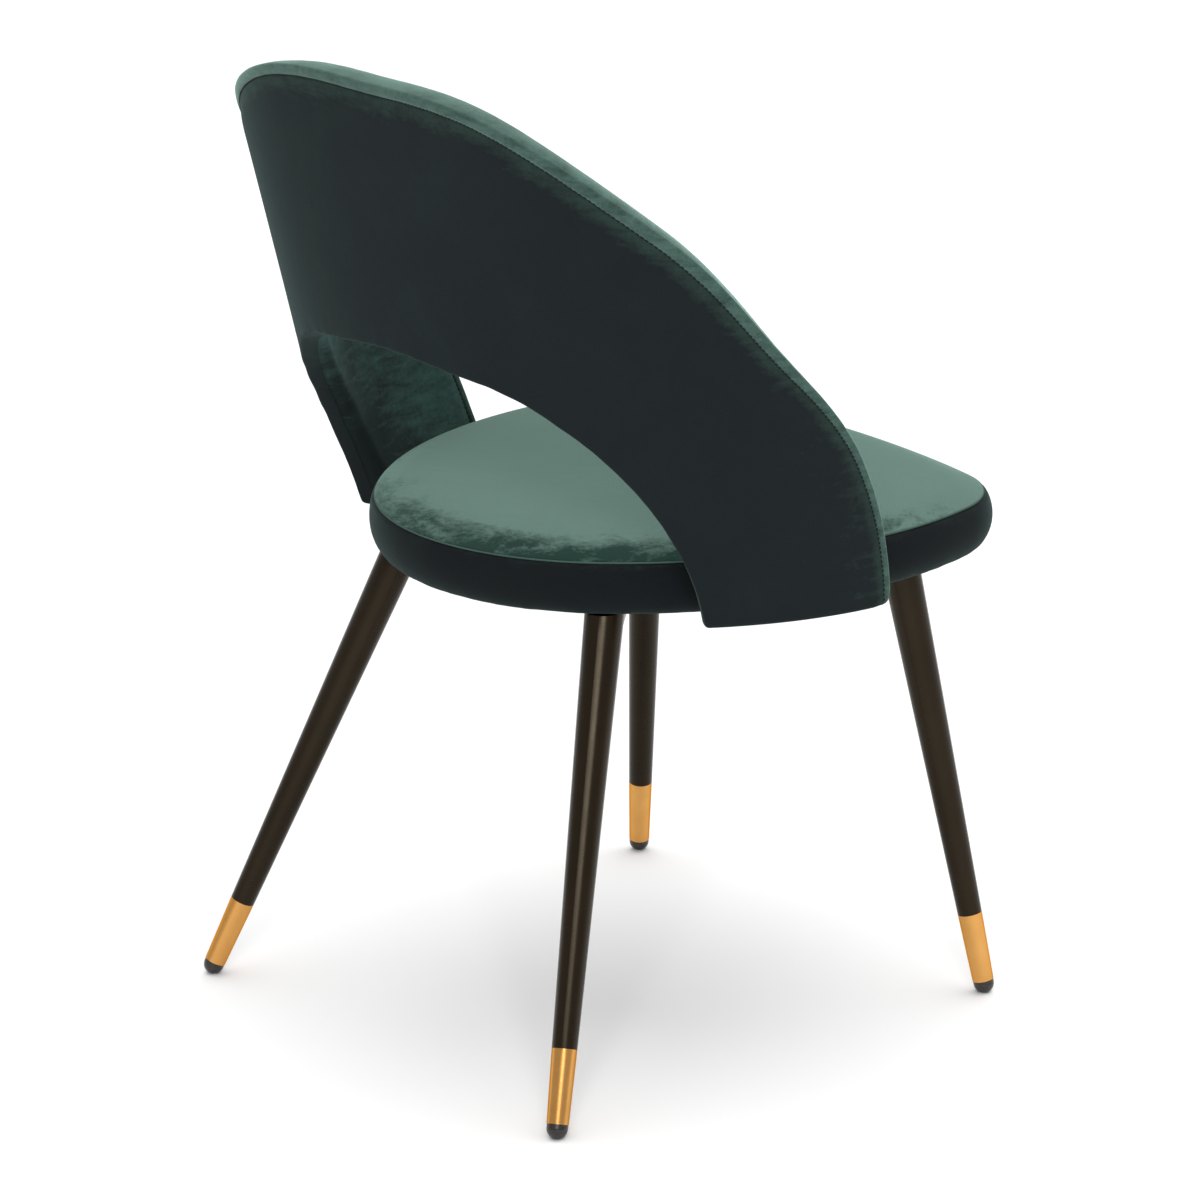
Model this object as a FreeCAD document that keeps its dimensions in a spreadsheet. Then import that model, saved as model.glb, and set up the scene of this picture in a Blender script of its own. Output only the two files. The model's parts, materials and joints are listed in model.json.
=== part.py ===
import FreeCAD, Part
import math
import os

import Sketcher

# Dining chair: a round-backed padded seat, a flared shell back with an arch opening, and four splayed
# round legs with metal tips, welded to a crossed underframe that is screwed to the seat board.
# Millimetres, +Z up, the sitter faces -Y, and the origin is on the floor under the middle of the chair.
# "Left" and "right" are the sitter's: left is +X.

DIMENSIONS = {
    # Seat outline in plan: six tangent arcs, rear, two flanks, two front corners and front.
    "seat_rear_radius": 215,
    "seat_rear_centre": -10.5,
    "seat_shoulder_angle": 45,
    "seat_flank_radius": 344,
    "seat_flank_end_angle": 15.5,
    "seat_corner_radius": 92,
    "seat_corner_end_angle": 79,
    # Seat heights, from the floor up.
    "seat_bottom": 402,
    "seat_board_bottom": 403.2,
    "seat_board_thickness": 12,
    "seat_seam_height": 450,
    "seat_top": 457,
    "seat_edge_rounding": 6,
    "seat_bottom_rounding": 14,
    # Seat layers, inward from the outline.
    "fabric": 1.2,
    "seat_board_inset": 16,
    "hem_width": 34,
    "dust_cover_thickness": 0.8,
    # Back shell: a ring of radius back_base_radius at the seat, flaring to a squarish oval at the top.
    "back_axis": -70,
    "back_base_radius": 288.7,
    "back_base_height": 402,
    "back_top_height": 835,
    "back_top_half_width": 351.4,
    "back_top_half_depth": 325.2,
    "back_top_squareness": 3.34,
    "back_arc_radius": 297,
    "wing_bottom": 407,
    "back_thickness": 28,
    "back_wadding": 5.3,
    "back_core": 10,
    "rim_crown": 9,
    "layer_gap": 0.15,
    "seat_side_swell": 9,
    "seat_side_swell_height": 80,
    # Reach of the back's outline from the middle of its base, every 18 degrees from the top to the wings.
    "seam_reach_0": 431.2,
    "seam_reach_1": 440.7,
    "seam_reach_2": 422.7,
    "seam_reach_3": 406.5,
    "seam_reach_4": 430,
    "seam_reach_5": 452.7,
    "opening_reach_0": 211.8,
    "opening_reach_1": 217.2,
    "opening_reach_2": 238.5,
    "opening_reach_3": 253.9,
    "opening_reach_4": 268,
    "opening_reach_5": 284.6,
    # Legs: where each tip ends, how far it leans and which way.
    "tip_end_height": 11.5,
    "rear_foot_out": 243.7,
    "rear_foot_back": 265.9,
    "rear_lean": 24.77,
    "rear_heading": 53.35,
    "front_foot_out": 237.4,
    "front_foot_forward": 217.8,
    "front_lean": 11.59,
    "front_heading": 30.9,
    "leg_top_height": 401.4,
    "leg_top_radius": 17,
    "leg_neck_radius": 10.7,
    "leg_wall": 1.5,
    "leg_trim": 10,
    "trim_half_width": 40,
    "spigot_length": 45,
    "tip_length": 62.4,
    "tip_end_radius": 9.3,
    "tip_wall": 1,
    "tip_floor": 1.5,
    "glide_radius": 9,
    "glide_collar": 3.4,
    "glide_stem_radius": 6,
    "glide_stem_length": 14,
    # Underframe: two crossed rectangular tubes with a mounting plate on each arm.
    "bar_width": 20,
    "bar_top": 399,
    "bar_depth": 30,
    "bar_wall": 1.5,
    "frame_centre": -11.9,
    "rear_arm": 190.5,
    "front_arm": 235.8,
    "plate_from_leg": 58,
    "plate_length": 28,
    "plate_span": 72,
    "plate_thickness": 3,
    "plate_hole_spacing": 52,
    "screw_radius": 3,
    "screw_clearance": 0.3,
    "screw_length": 24,
    "screw_head_radius": 5.6,
    "screw_head_height": 3.3,
    "washer_radius": 6.5,
    "washer_thickness": 1.2,
    "tee_nut_radius": 4,
    "tee_nut_flange_radius": 9,
    "tee_nut_flange": 1.5,
    "nut_recess": 8,
    "nut_clearance": 1,
    "tee_nut_set_back": 2,
    # Brackets that join the wings of the back to the seat board.
    "bracket_angle": 18,
    "bracket_start": 185,
    "bracket_reach": 270.4,
    "bracket_lean": 0.178,
    "bracket_top": 448,
    "bracket_width": 50,
    "bracket_hole_spacing": 28,
    "wood_screw_radius": 2,
    "wood_screw_head_radius": 4,
    "wood_screw_head": 2.4,
    "wood_screw_length": 11,
    "seat_screw_row": 205,
    "wing_screw_height": 430,
    "wing_screw_stand_off": 0.8,
    "wing_hole_margin": 10,
    "wood_screw_point": 4,
}

KNOT_STEP = 18
SECTION_STEP = 9
ACROSS = (0, 0.25, 0.5, 0.75, 1)
UP = FreeCAD.Vector(0, 0, 1)

doc = FreeCAD.newDocument("DiningChair")
sheet = doc.addObject("Spreadsheet::Sheet", "Dims")
for row, (alias, value) in enumerate(DIMENSIONS.items(), start=1):
    sheet.set(f"A{row}", alias)
    sheet.set(f"B{row}", str(value))
    sheet.setAlias(f"B{row}", alias)
doc.recompute()

subparts = []


def dim(alias):
    """A driving dimension's number, read from the sheet."""
    return float(sheet.get(alias))


def keep(obj, label):
    """Marks a document object as a sub-part, named by its label."""
    obj.Label = label
    subparts.append(obj)
    return obj


# ---------------------------------------------------------------- sketches and bodies


def new_body(name, placement=None):
    body = doc.addObject("PartDesign::Body", name)
    if placement:
        body.Placement = placement
    return body


def new_sketch(body, name, role, height=None):
    """A sketch on one of the body's own origin planes, raised by the expression height."""
    sketch = body.newObject("Sketcher::SketchObject", name)
    plane = next(f for f in body.Origin.OriginFeatures if f.Role == role)
    sketch.AttachmentSupport = [(plane, "")]
    sketch.MapMode = "FlatFace"
    if height:
        sketch.setExpression("AttachmentOffset.Base.z", height)
    return sketch


def number(sketch, expression):
    return float(sketch.evalExpression(expression))


def pin(sketch, kind, where, expression):
    """Adds a driving constraint that follows an expression."""
    index = sketch.addConstraint(Sketcher.Constraint(kind, *where, number(sketch, expression)))
    sketch.setExpression(f"Constraints[{index}]", expression)


def polygon(sketch, corners):
    """A closed polygon, each corner placed by a pair of expressions."""
    points = [FreeCAD.Vector(number(sketch, x), number(sketch, y), 0) for x, y in corners]
    count = len(points)
    first = sketch.GeometryCount
    for start, end in zip(points, points[1:] + points[:1]):
        sketch.addGeometry(Part.LineSegment(start, end))
    for side in range(count):
        following = first + (side + 1) % count
        sketch.addConstraint(Sketcher.Constraint("Coincident", first + side, 2, following, 1))
    for side, (x, y) in enumerate(corners, start=first):
        for kind, axis, expression in (("DistanceX", -2, x), ("DistanceY", -1, y)):
            if expression == "0":
                sketch.addConstraint(Sketcher.Constraint("PointOnObject", side, 1, axis))
            else:
                pin(sketch, kind, (-1, 1, side, 1), expression)


def circles(sketch, centres, radius):
    """Equal circles at fixed centres."""
    for x, y in centres:
        side = sketch.addGeometry(Part.Circle(FreeCAD.Vector(x, y, 0), UP, number(sketch, radius)))
        pin(sketch, "Radius", (side,), radius)
        sketch.addConstraint(Sketcher.Constraint("DistanceX", -1, 1, side, 3, x))
        sketch.addConstraint(Sketcher.Constraint("DistanceY", -1, 1, side, 3, y))


def pad(body, sketch, length, midplane=False):
    feature = body.newObject("PartDesign::Pad", f"{body.Name}_pad")
    feature.Profile = sketch
    feature.Midplane = midplane
    feature.setExpression("Length", length)
    return feature


def pocket(body, sketch, length=None, upward=False, midplane=False):
    """Cuts the sketch out of the body, and stops if nothing was removed."""
    doc.recompute()
    before = body.Shape.Volume
    feature = body.newObject("PartDesign::Pocket", f"{body.Name}_pocket")
    feature.Profile = sketch
    feature.Reversed = upward
    feature.Midplane = midplane
    if length:
        feature.setExpression("Length", length)
    else:
        feature.Type = "ThroughAll"
    doc.recompute()
    if not body.Shape.Volume < before - 1e-3:
        raise RuntimeError(f"{feature.Name} removes nothing")
    return feature


def revolve(body, sketch):
    feature = body.newObject("PartDesign::Revolution", f"{body.Name}_revolution")
    feature.Profile = sketch
    feature.ReferenceAxis = (sketch, ["V_Axis"])
    feature.Angle = 360
    return feature


# ---------------------------------------------------------------- seat

REAR = "Dims.seat_rear_radius"
FLANK = "Dims.seat_flank_radius"
CORNER = "Dims.seat_corner_radius"
SHOULDER = "Dims.seat_shoulder_angle"
FLANK_END = "Dims.seat_flank_end_angle"
CORNER_END = "Dims.seat_corner_end_angle"
FLANK_X = f"(-({FLANK} - {REAR}) * cos({SHOULDER}))"
FLANK_Y = f"(Dims.seat_rear_centre - ({FLANK} - {REAR}) * sin({SHOULDER}))"
CORNER_X = f"({FLANK_X} + ({FLANK} - {CORNER}) * cos({FLANK_END}))"
CORNER_Y = f"({FLANK_Y} - ({FLANK} - {CORNER}) * sin({FLANK_END}))"
FRONT = f"({CORNER} + {CORNER_X} / cos({CORNER_END}))"
FRONT_Y = f"({CORNER_Y} + {CORNER_X} * tan({CORNER_END}))"


def seat_outline(body, name, inset, height):
    """The seat's outline moved inward by inset: six arcs, counter-clockwise from the right shoulder."""
    sketch = new_sketch(body, name, "XY_Plane", height)
    shoulder = number(sketch, SHOULDER)
    flank_end = number(sketch, FLANK_END)
    corner_end = number(sketch, CORNER_END)
    arcs = [
        ("0", "Dims.seat_rear_centre", REAR, shoulder, 180 - shoulder),
        (f"-{FLANK_X}", FLANK_Y, FLANK, 180 - shoulder, 180 + flank_end),
        (f"-{CORNER_X}", CORNER_Y, CORNER, 180 + flank_end, 180 + corner_end),
        ("0", FRONT_Y, FRONT, 180 + corner_end, 360 - corner_end),
        (CORNER_X, CORNER_Y, CORNER, 360 - corner_end, 360 - flank_end),
        (FLANK_X, FLANK_Y, FLANK, 360 - flank_end, 360 + shoulder),
    ]
    for x, y, radius, start, end in arcs:
        centre = FreeCAD.Vector(number(sketch, x), number(sketch, y), 0)
        circle = Part.Circle(centre, UP, number(sketch, f"{radius} - {inset}"))
        sketch.addGeometry(Part.ArcOfCircle(circle, math.radians(start), math.radians(end)))
    for arc in range(len(arcs)):
        following = (arc + 1) % len(arcs)
        sketch.addConstraint(Sketcher.Constraint("Tangent", arc, 2, following, 1))
    for arc, values in enumerate(arcs):
        pin(sketch, "Radius", (arc,), f"{values[2]} - {inset}")
    sketch.addConstraint(Sketcher.Constraint("PointOnObject", 0, 3, -2))
    pin(sketch, "DistanceY", (-1, 1, 0, 3), "Dims.seat_rear_centre")
    shoulder_x = f"({REAR} - {inset}) * cos({SHOULDER})"
    flank_end_y = f"{FLANK_Y} - ({FLANK} - {inset}) * sin({FLANK_END})"
    pin(sketch, "DistanceX", (-1, 1, 0, 1), shoulder_x)
    pin(sketch, "DistanceX", (0, 2, -1, 1), shoulder_x)
    pin(sketch, "DistanceY", (-1, 1, 5, 1), flank_end_y)
    pin(sketch, "DistanceY", (-1, 1, 1, 2), flank_end_y)
    return sketch


def round_edges(body, feature, radius, side):
    """Rounds the edges of a pad's "top" or "bottom" face."""
    doc.recompute()
    box = feature.Shape.BoundBox
    edges = []
    for index, edge in enumerate(feature.Shape.Edges, start=1):
        level = edge.BoundBox
        at_top = level.ZMin > box.ZMax - 0.01
        at_bottom = level.ZMax < box.ZMin + 0.01
        if (at_top and side == "top") or (at_bottom and side == "bottom"):
            edges.append(f"Edge{index}")
    fillet = body.newObject("PartDesign::Fillet", f"{body.Name}_{side}_rounding")
    fillet.Base = (feature, edges)
    fillet.setExpression("Radius", radius)
    doc.recompute()
    return fillet


def hollow_out(body, feature, open_side):
    """Leaves a skin of fabric, open at the feature's "top" or "bottom" face."""
    box = feature.Shape.BoundBox
    for index, face in enumerate(feature.Shape.Faces, start=1):
        level = face.BoundBox
        at_top = level.ZMin > box.ZMax - 0.01
        at_bottom = level.ZMax < box.ZMin + 0.01
        if (at_top and open_side == "top") or (at_bottom and open_side == "bottom"):
            open_face = f"Face{index}"
    skin = body.newObject("PartDesign::Thickness", f"{body.Name}_skin")
    skin.Base = (feature, [open_face])
    skin.Reversed = True
    skin.setExpression("Value", "Dims.fabric")
    doc.recompute()
    return skin


def plate_centres():
    """Centre and heading of each mounting plate, by arm: rear left, rear right, front left, front right."""
    found = {}
    for end, arm, sign in (("rear", dim("rear_arm"), 1), ("front", dim("front_arm"), -1)):
        rise, run = arm_slope(end)
        heading = math.atan2(sign * rise, run)
        reach = arm - dim("plate_from_leg")
        for side, mirror in (("left", 1), ("right", -1)):
            x = mirror * reach * math.cos(heading)
            y = dim("frame_centre") + reach * math.sin(heading)
            angle = heading if mirror > 0 else math.pi - heading
            found[f"{end}_{side}"] = (x, y, angle)
    return found


def leg_top_axis(end):
    """Distance out and back of a leg's axis at the underside of the seat."""
    rise = (dim("seat_bottom") - dim("tip_end_height")) * math.tan(math.radians(dim(f"{end}_lean")))
    heading = math.radians(dim(f"{end}_heading"))
    out = dim(f"{end}_foot_out") - rise * math.cos(heading)
    along = dim("rear_foot_back") if end == "rear" else dim("front_foot_forward")
    return out, along - rise * math.sin(heading)


def arm_slope(end):
    """How far an arm of the underframe runs along Y and along X, from the middle to the leg."""
    out, along = leg_top_axis(end)
    centre = dim("frame_centre")
    return (along - centre if end == "rear" else along + centre), out


def screw_places():
    """Centres of the screws that hold the underframe, two on each mounting plate."""
    places = []
    half = dim("plate_hole_spacing") / 2
    for x, y, angle in plate_centres().values():
        for side in (-half, half):
            places.append((x - side * math.sin(angle), y + side * math.cos(angle)))
    return places


def bracket_screw_places():
    """Centres of the wood screws that hold the wing brackets to the seat board."""
    half = dim("bracket_hole_spacing") / 2
    local = [FreeCAD.Vector(dim("seat_screw_row"), across, 0) for across in (-half, half)]
    points = [bracket_placement(side).multVec(point) for side in ("left", "right") for point in local]
    return [(point.x, point.y) for point in points]


def make_seat():
    """Board, foam, top panel, side band and dust cover."""
    screws = screw_places()
    pilots = bracket_screw_places()

    board = new_body("seat_board")
    outline = seat_outline(board, "board_outline", "Dims.seat_board_inset", "Dims.seat_board_bottom")
    pad(board, outline, "Dims.seat_board_thickness")
    holes = new_sketch(board, "board_holes", "XY_Plane", "Dims.seat_board_bottom")
    circles(holes, screws, "Dims.tee_nut_radius")
    circles(holes, pilots, "Dims.wood_screw_radius")
    pocket(board, holes, upward=True)
    keep(board, "seat_plywood_board")

    foam = new_body("foam")
    outline = seat_outline(foam, "foam_outline", "Dims.fabric", "Dims.seat_board_bottom")
    block = pad(foam, outline, "Dims.seat_top - Dims.fabric - Dims.seat_board_bottom")
    crowned = round_edges(foam, block, "Dims.seat_edge_rounding - Dims.fabric", "top")
    round_edges(foam, crowned, "Dims.seat_bottom_rounding - Dims.fabric", "bottom")
    recess = seat_outline(foam, "board_recess", "Dims.seat_board_inset", "Dims.seat_board_bottom")
    pocket(foam, recess, "Dims.seat_board_thickness", upward=True)
    nuts = new_sketch(foam, "nut_recesses", "XY_Plane", "Dims.seat_board_bottom")
    circles(nuts, screws, "Dims.tee_nut_flange_radius + Dims.nut_clearance")
    pocket(foam, nuts, "Dims.seat_board_thickness + Dims.nut_recess", upward=True)
    keep(foam, "seat_foam")

    panel = new_body("top_panel")
    outline = seat_outline(panel, "panel_outline", "0", "Dims.seat_seam_height")
    block = pad(panel, outline, "Dims.seat_top - Dims.seat_seam_height")
    rounded = round_edges(panel, block, "Dims.seat_edge_rounding", "top")
    hollow_out(panel, rounded, "bottom")
    keep(panel, "seat_top_panel")

    band = new_body("side_band")
    outline = seat_outline(band, "band_outline", "0", "Dims.seat_bottom")
    block = pad(band, outline, "Dims.seat_seam_height - Dims.seat_bottom")
    rounded = round_edges(band, block, "Dims.seat_bottom_rounding", "bottom")
    hollow_out(band, rounded, "top")
    hem = seat_outline(band, "band_hem", "Dims.hem_width", "Dims.seat_bottom")
    pocket(band, hem, upward=True)
    keep(band, "seat_side_band")

    cover = new_body("dust_cover")
    base = "Dims.seat_board_bottom - Dims.dust_cover_thickness"
    outline = seat_outline(cover, "cover_outline", "Dims.hem_width", base)
    pad(cover, outline, "Dims.dust_cover_thickness")
    holes = new_sketch(cover, "cover_holes", "XY_Plane", base)
    circles(holes, screws, "Dims.tee_nut_radius")
    circles(holes, pilots, "Dims.wood_screw_radius")
    pocket(cover, holes, upward=True)
    keep(cover, "seat_dust_cover")


# ---------------------------------------------------------------- back shell


def reach(name, angle):
    """Reach of an outline of the back at an angle from its top: a smooth curve through the sheet's values."""
    values = [dim(f"{name}_reach_{i}") for i in range(6)]
    slopes = [0] + [(values[i + 1] - values[i - 1]) / 2 for i in range(1, 5)] + [values[5] - values[4]]
    position = min(abs(angle) / KNOT_STEP, 4.999999)
    i = int(position)
    u = position - i
    start = (2 * u**3 - 3 * u**2 + 1) * values[i] + (u**3 - 2 * u**2 + u) * slopes[i]
    end = (3 * u**2 - 2 * u**3) * values[i + 1] + (u**3 - u**2) * slopes[i + 1]
    return start + end


def shell_point(sideways, height, depth):
    """A point depth inside the back's outer face, sideways along the ring and height above the floor."""
    around = sideways / dim("back_arc_radius")
    power = dim("back_top_squareness")
    across = abs(math.sin(around)) / dim("back_top_half_width")
    behind = abs(math.cos(around)) / dim("back_top_half_depth")
    top = (across**power + behind**power) ** (-1 / power)
    climb = (height - dim("back_base_height")) / (dim("back_top_height") - dim("back_base_height"))
    radius = dim("back_base_radius") + (top - dim("back_base_radius")) * climb
    radius -= depth + side_swell(height, depth)
    return FreeCAD.Vector(radius * math.sin(around), dim("back_axis") + radius * math.cos(around), height)


def side_swell(height, depth):
    """Extra padding inside the wings where they meet the side of the seat."""
    core_inside = dim("fabric") + dim("back_wadding") + dim("back_core")
    share = max(0, (depth - core_inside) / (dim("back_thickness") - core_inside))
    fade = max(0, 1 - (height - dim("wing_bottom")) / dim("seat_side_swell_height"))
    return dim("seat_side_swell") * share * fade**2


def arch_section(angle, sides):
    """Closed wire across the arch. Each side is a list of (share across, shift, depth) points."""
    opening = reach("opening", angle)
    seam = reach("seam", angle)
    turn = math.radians(angle)
    edges = []
    for side in sides:
        points = []
        for share, shift, depth in side:
            length = opening + (seam - opening) * share + shift
            height = dim("wing_bottom") + length * max(0, math.cos(turn))
            points.append(shell_point(length * math.sin(turn), height, depth))
        curve = Part.BSplineCurve()
        curve.interpolate(points)
        edges.append(curve.toShape())
    return Part.Wire(edges)


def arch_solid(label, sides, tools=()):
    """A band that follows the arch from one wing's bottom to the other's."""
    angles = range(-90, 91, SECTION_STEP)
    solid = Part.makeLoft([arch_section(angle, sides) for angle in angles], True)
    for tool in tools:
        solid = solid.cut(tool)
    feature = doc.addObject("Part::Feature", f"{label}_shape")
    feature.Shape = solid
    return keep(feature, label)


def layer(outside, inside):
    """The four sides of a layer between two depths, from the opening band to the seam, with small gaps."""
    gap = dim("layer_gap")
    edge = dim("fabric") + gap
    outer = [(share, edge - (edge + gap) * share, outside + gap) for share in ACROSS]
    inner = [(share, edge - (edge + gap) * share, inside - gap) for share in reversed(ACROSS)]
    return [outer, [outer[-1], inner[0]], inner, [inner[-1], outer[0]]]


def crown(outside, inside, height):
    """Points over the rim from one depth to another, rising to height in the middle."""
    return [(1, height * 4 * t * (1 - t), outside + (inside - outside) * t) for t in ACROSS]


def make_back(tools):
    """Core, padding and velvet panels of the back. tools are the brackets let into the padding."""
    cloth = dim("fabric")
    full = dim("back_thickness")
    core_outside = cloth + dim("back_wadding")
    core_inside = core_outside + dim("back_core")
    rise = dim("rim_crown")

    arch_solid("back_outer_panel", layer(0, cloth))
    arch_solid("back_outer_wadding", layer(cloth, core_outside))
    arch_solid("back_plywood_core", layer(core_outside, core_inside), tools)
    arch_solid("back_inner_foam", layer(core_inside, full - cloth), tools)
    arch_solid("back_inner_panel", layer(full - cloth, full))

    gap = dim("layer_gap")
    over_foam = crown(cloth + gap, full - cloth - gap, rise - cloth - gap)
    arch_solid("back_rim_foam", [over_foam, [over_foam[-1], over_foam[0]]])
    over_band = crown(0, full, rise)
    lining = crown(cloth, full - cloth, rise - cloth)
    band_ends = [over_band[-1], lining[-1]], [lining[0], over_band[0]]
    arch_solid("back_rim_band", [over_band, band_ends[0], lining[::-1], band_ends[1]])

    face = [(0, 0, 0), (0, 0, full)]
    back = [(0, cloth, full), (0, cloth, 0)]
    arch_solid("back_opening_band", [face, [face[1], back[0]], back, [back[1], face[0]]])

    for side, angle in (("left", 90), ("right", -90)):
        outer = [(share, 0, 0) for share in ACROSS]
        inner = [(share, 0, full) for share in reversed(ACROSS)]
        over = crown(0, full, rise)
        wire = arch_section(angle, [outer, over, inner, [inner[-1], outer[0]]])
        cover = Part.Face(wire).extrude(UP * -dim("dust_cover_thickness"))
        for tool in tools:
            cover = cover.cut(tool)
        feature = doc.addObject("Part::Feature", f"{side}_base_cover")
        feature.Shape = cover
        keep(feature, f"{side}_wing_base_cover")


# ---------------------------------------------------------------- legs

CORNERS = {
    "rear_left": ("rear", 1, 1),
    "rear_right": ("rear", -1, 1),
    "front_left": ("front", 1, -1),
    "front_right": ("front", -1, -1),
}
TIP_TAPER = "(Dims.leg_neck_radius - Dims.tip_end_radius) / Dims.tip_length"


def leg_placement(corner):
    """Origin at the lower end of the tip, Z up along the leg and X in the plane that it leans in."""
    end, across, along = CORNERS[corner]
    far = dim("rear_foot_back") if end == "rear" else dim("front_foot_forward")
    foot = FreeCAD.Vector(across * dim(f"{end}_foot_out"), along * far, dim("tip_end_height"))
    heading = math.atan2(
        along * math.sin(math.radians(dim(f"{end}_heading"))),
        across * math.cos(math.radians(dim(f"{end}_heading"))),
    )
    turn = FreeCAD.Rotation(UP, math.degrees(heading))
    lean = FreeCAD.Rotation(FreeCAD.Vector(0, 1, 0), -dim(f"{end}_lean"))
    return FreeCAD.Placement(foot, turn * lean)


def leg_length(end, height):
    """Length along the leg's axis from the tip's lower end to a height above the floor."""
    return f"(({height} - Dims.tip_end_height) / cos(Dims.{end}_lean))"


def level_cut(body, end, height, keep_below):
    """Cuts the body with a level plane at a height above the floor."""
    middle = leg_length(end, height)
    depth = 1 if keep_below else -1
    across = f"(cos(Dims.{end}_lean) * Dims.trim_half_width)"
    drop = f"(sin(Dims.{end}_lean) * Dims.trim_half_width)"
    corners = []
    for side, level in ((-1, 0), (1, 0), (1, depth), (-1, depth)):
        x = f"{side} * {across} + {level} * {drop}"
        z = f"{middle} - {side} * {drop} + {level} * {across}"
        corners.append((x, z))
    sketch = new_sketch(body, f"{body.Name}_level", "XZ_Plane")
    polygon(sketch, corners)
    pocket(body, sketch, "2 * Dims.trim_half_width", midplane=True)


def make_leg(corner):
    """A tapered tube with a spigot, a metal tip sleeve on the spigot and a glide pressed into the tip."""
    end = CORNERS[corner][0]
    place = leg_placement(corner)

    tube = new_body(f"{corner}_tube", place)
    profile = new_sketch(tube, f"{corner}_tube_profile", "XZ_Plane")
    taper = f"{TIP_TAPER} * Dims.spigot_length"
    spigot = "(Dims.leg_neck_radius - Dims.tip_wall)"
    long_end = f"({leg_length(end, 'Dims.leg_top_height')} + Dims.leg_trim)"
    polygon(
        profile,
        [
            (f"{spigot} - {taper} - Dims.leg_wall", "Dims.tip_length - Dims.spigot_length"),
            (f"{spigot} - {taper}", "Dims.tip_length - Dims.spigot_length"),
            (spigot, "Dims.tip_length"),
            ("Dims.leg_neck_radius", "Dims.tip_length"),
            ("Dims.leg_top_radius", long_end),
            ("Dims.leg_top_radius - Dims.leg_wall", long_end),
            (f"{spigot} - Dims.leg_wall", "Dims.tip_length"),
        ],
    )
    revolve(tube, profile)
    level_cut(tube, end, "Dims.leg_top_height", keep_below=True)
    keep(tube, f"{corner}_leg_tube")

    sleeve = new_body(f"{corner}_sleeve", place)
    profile = new_sketch(sleeve, f"{corner}_sleeve_profile", "XZ_Plane")
    polygon(
        profile,
        [
            ("Dims.glide_stem_radius", "0"),
            ("Dims.tip_end_radius", "0"),
            ("Dims.leg_neck_radius", "Dims.tip_length"),
            ("Dims.leg_neck_radius - Dims.tip_wall", "Dims.tip_length"),
            (f"Dims.tip_end_radius - Dims.tip_wall + {TIP_TAPER} * Dims.tip_floor", "Dims.tip_floor"),
            ("Dims.glide_stem_radius", "Dims.tip_floor"),
        ],
    )
    revolve(sleeve, profile)
    keep(sleeve, f"{corner}_tip_sleeve")

    glide = new_body(f"{corner}_glide_body", place)
    profile = new_sketch(glide, f"{corner}_glide_profile", "XZ_Plane")
    glide_profile(profile)
    revolve(glide, profile)
    level_cut(glide, end, "0", keep_below=False)
    keep(glide, f"{corner}_glide")


def glide_profile(sketch):
    """Half section of a glide: stem, collar and domed foot."""
    radius = dim("glide_radius")
    collar = dim("glide_collar")
    stem = dim("glide_stem_radius")
    top = dim("glide_stem_length")
    centre = FreeCAD.Vector(0, -collar, 0)
    dome = Part.ArcOfCircle(Part.Circle(centre, UP, radius), -math.pi / 2, 0)
    corners = [(radius, -collar), (radius, 0), (stem, 0), (stem, top), (0, top), (0, -collar - radius)]
    points = [FreeCAD.Vector(x, y, 0) for x, y in corners]
    sketch.addGeometry(dome)
    for start, end in zip(points, points[1:]):
        sketch.addGeometry(Part.LineSegment(start, end))
    for side in range(6):
        sketch.addConstraint(Sketcher.Constraint("Coincident", side, 2, (side + 1) % 6, 1))
    for side, kind in ((1, "Vertical"), (2, "Horizontal"), (3, "Vertical"), (4, "Horizontal")):
        sketch.addConstraint(Sketcher.Constraint(kind, side))
    sketch.addConstraint(Sketcher.Constraint("PointOnObject", 0, 3, -2))
    sketch.addConstraint(Sketcher.Constraint("PointOnObject", 0, 1, -2))
    sketch.addConstraint(Sketcher.Constraint("PointOnObject", 4, 2, -2))
    sketch.addConstraint(Sketcher.Constraint("PointOnObject", 1, 2, -1))
    pin(sketch, "Radius", (0,), "Dims.glide_radius")
    pin(sketch, "DistanceY", (0, 3, -1, 1), "Dims.glide_collar")
    pin(sketch, "DistanceY", (0, 2, -1, 1), "Dims.glide_collar")
    pin(sketch, "DistanceX", (-1, 1, 3, 1), "Dims.glide_stem_radius")
    pin(sketch, "DistanceY", (-1, 1, 3, 2), "Dims.glide_stem_length")


# ---------------------------------------------------------------- underframe


def cutter(name, kind, placement, **sizes):
    """A Part primitive that only cuts others."""
    tool = doc.addObject(kind, name)
    for size, expression in sizes.items():
        tool.setExpression(size, expression)
    tool.Placement = placement
    return tool


def leg_cone(corner):
    """The leg's outside, for coping the ends of the bars."""
    lift = FreeCAD.Placement(UP * dim("tip_length"), FreeCAD.Rotation())
    long_end = f"({leg_length(CORNERS[corner][0], 'Dims.leg_top_height')} + Dims.leg_trim)"
    return cutter(
        f"{corner}_cope",
        "Part::Cone",
        leg_placement(corner) * lift,
        Radius1="Dims.leg_neck_radius",
        Radius2="Dims.leg_top_radius",
        Height=f"{long_end} - Dims.tip_length",
    )


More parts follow.
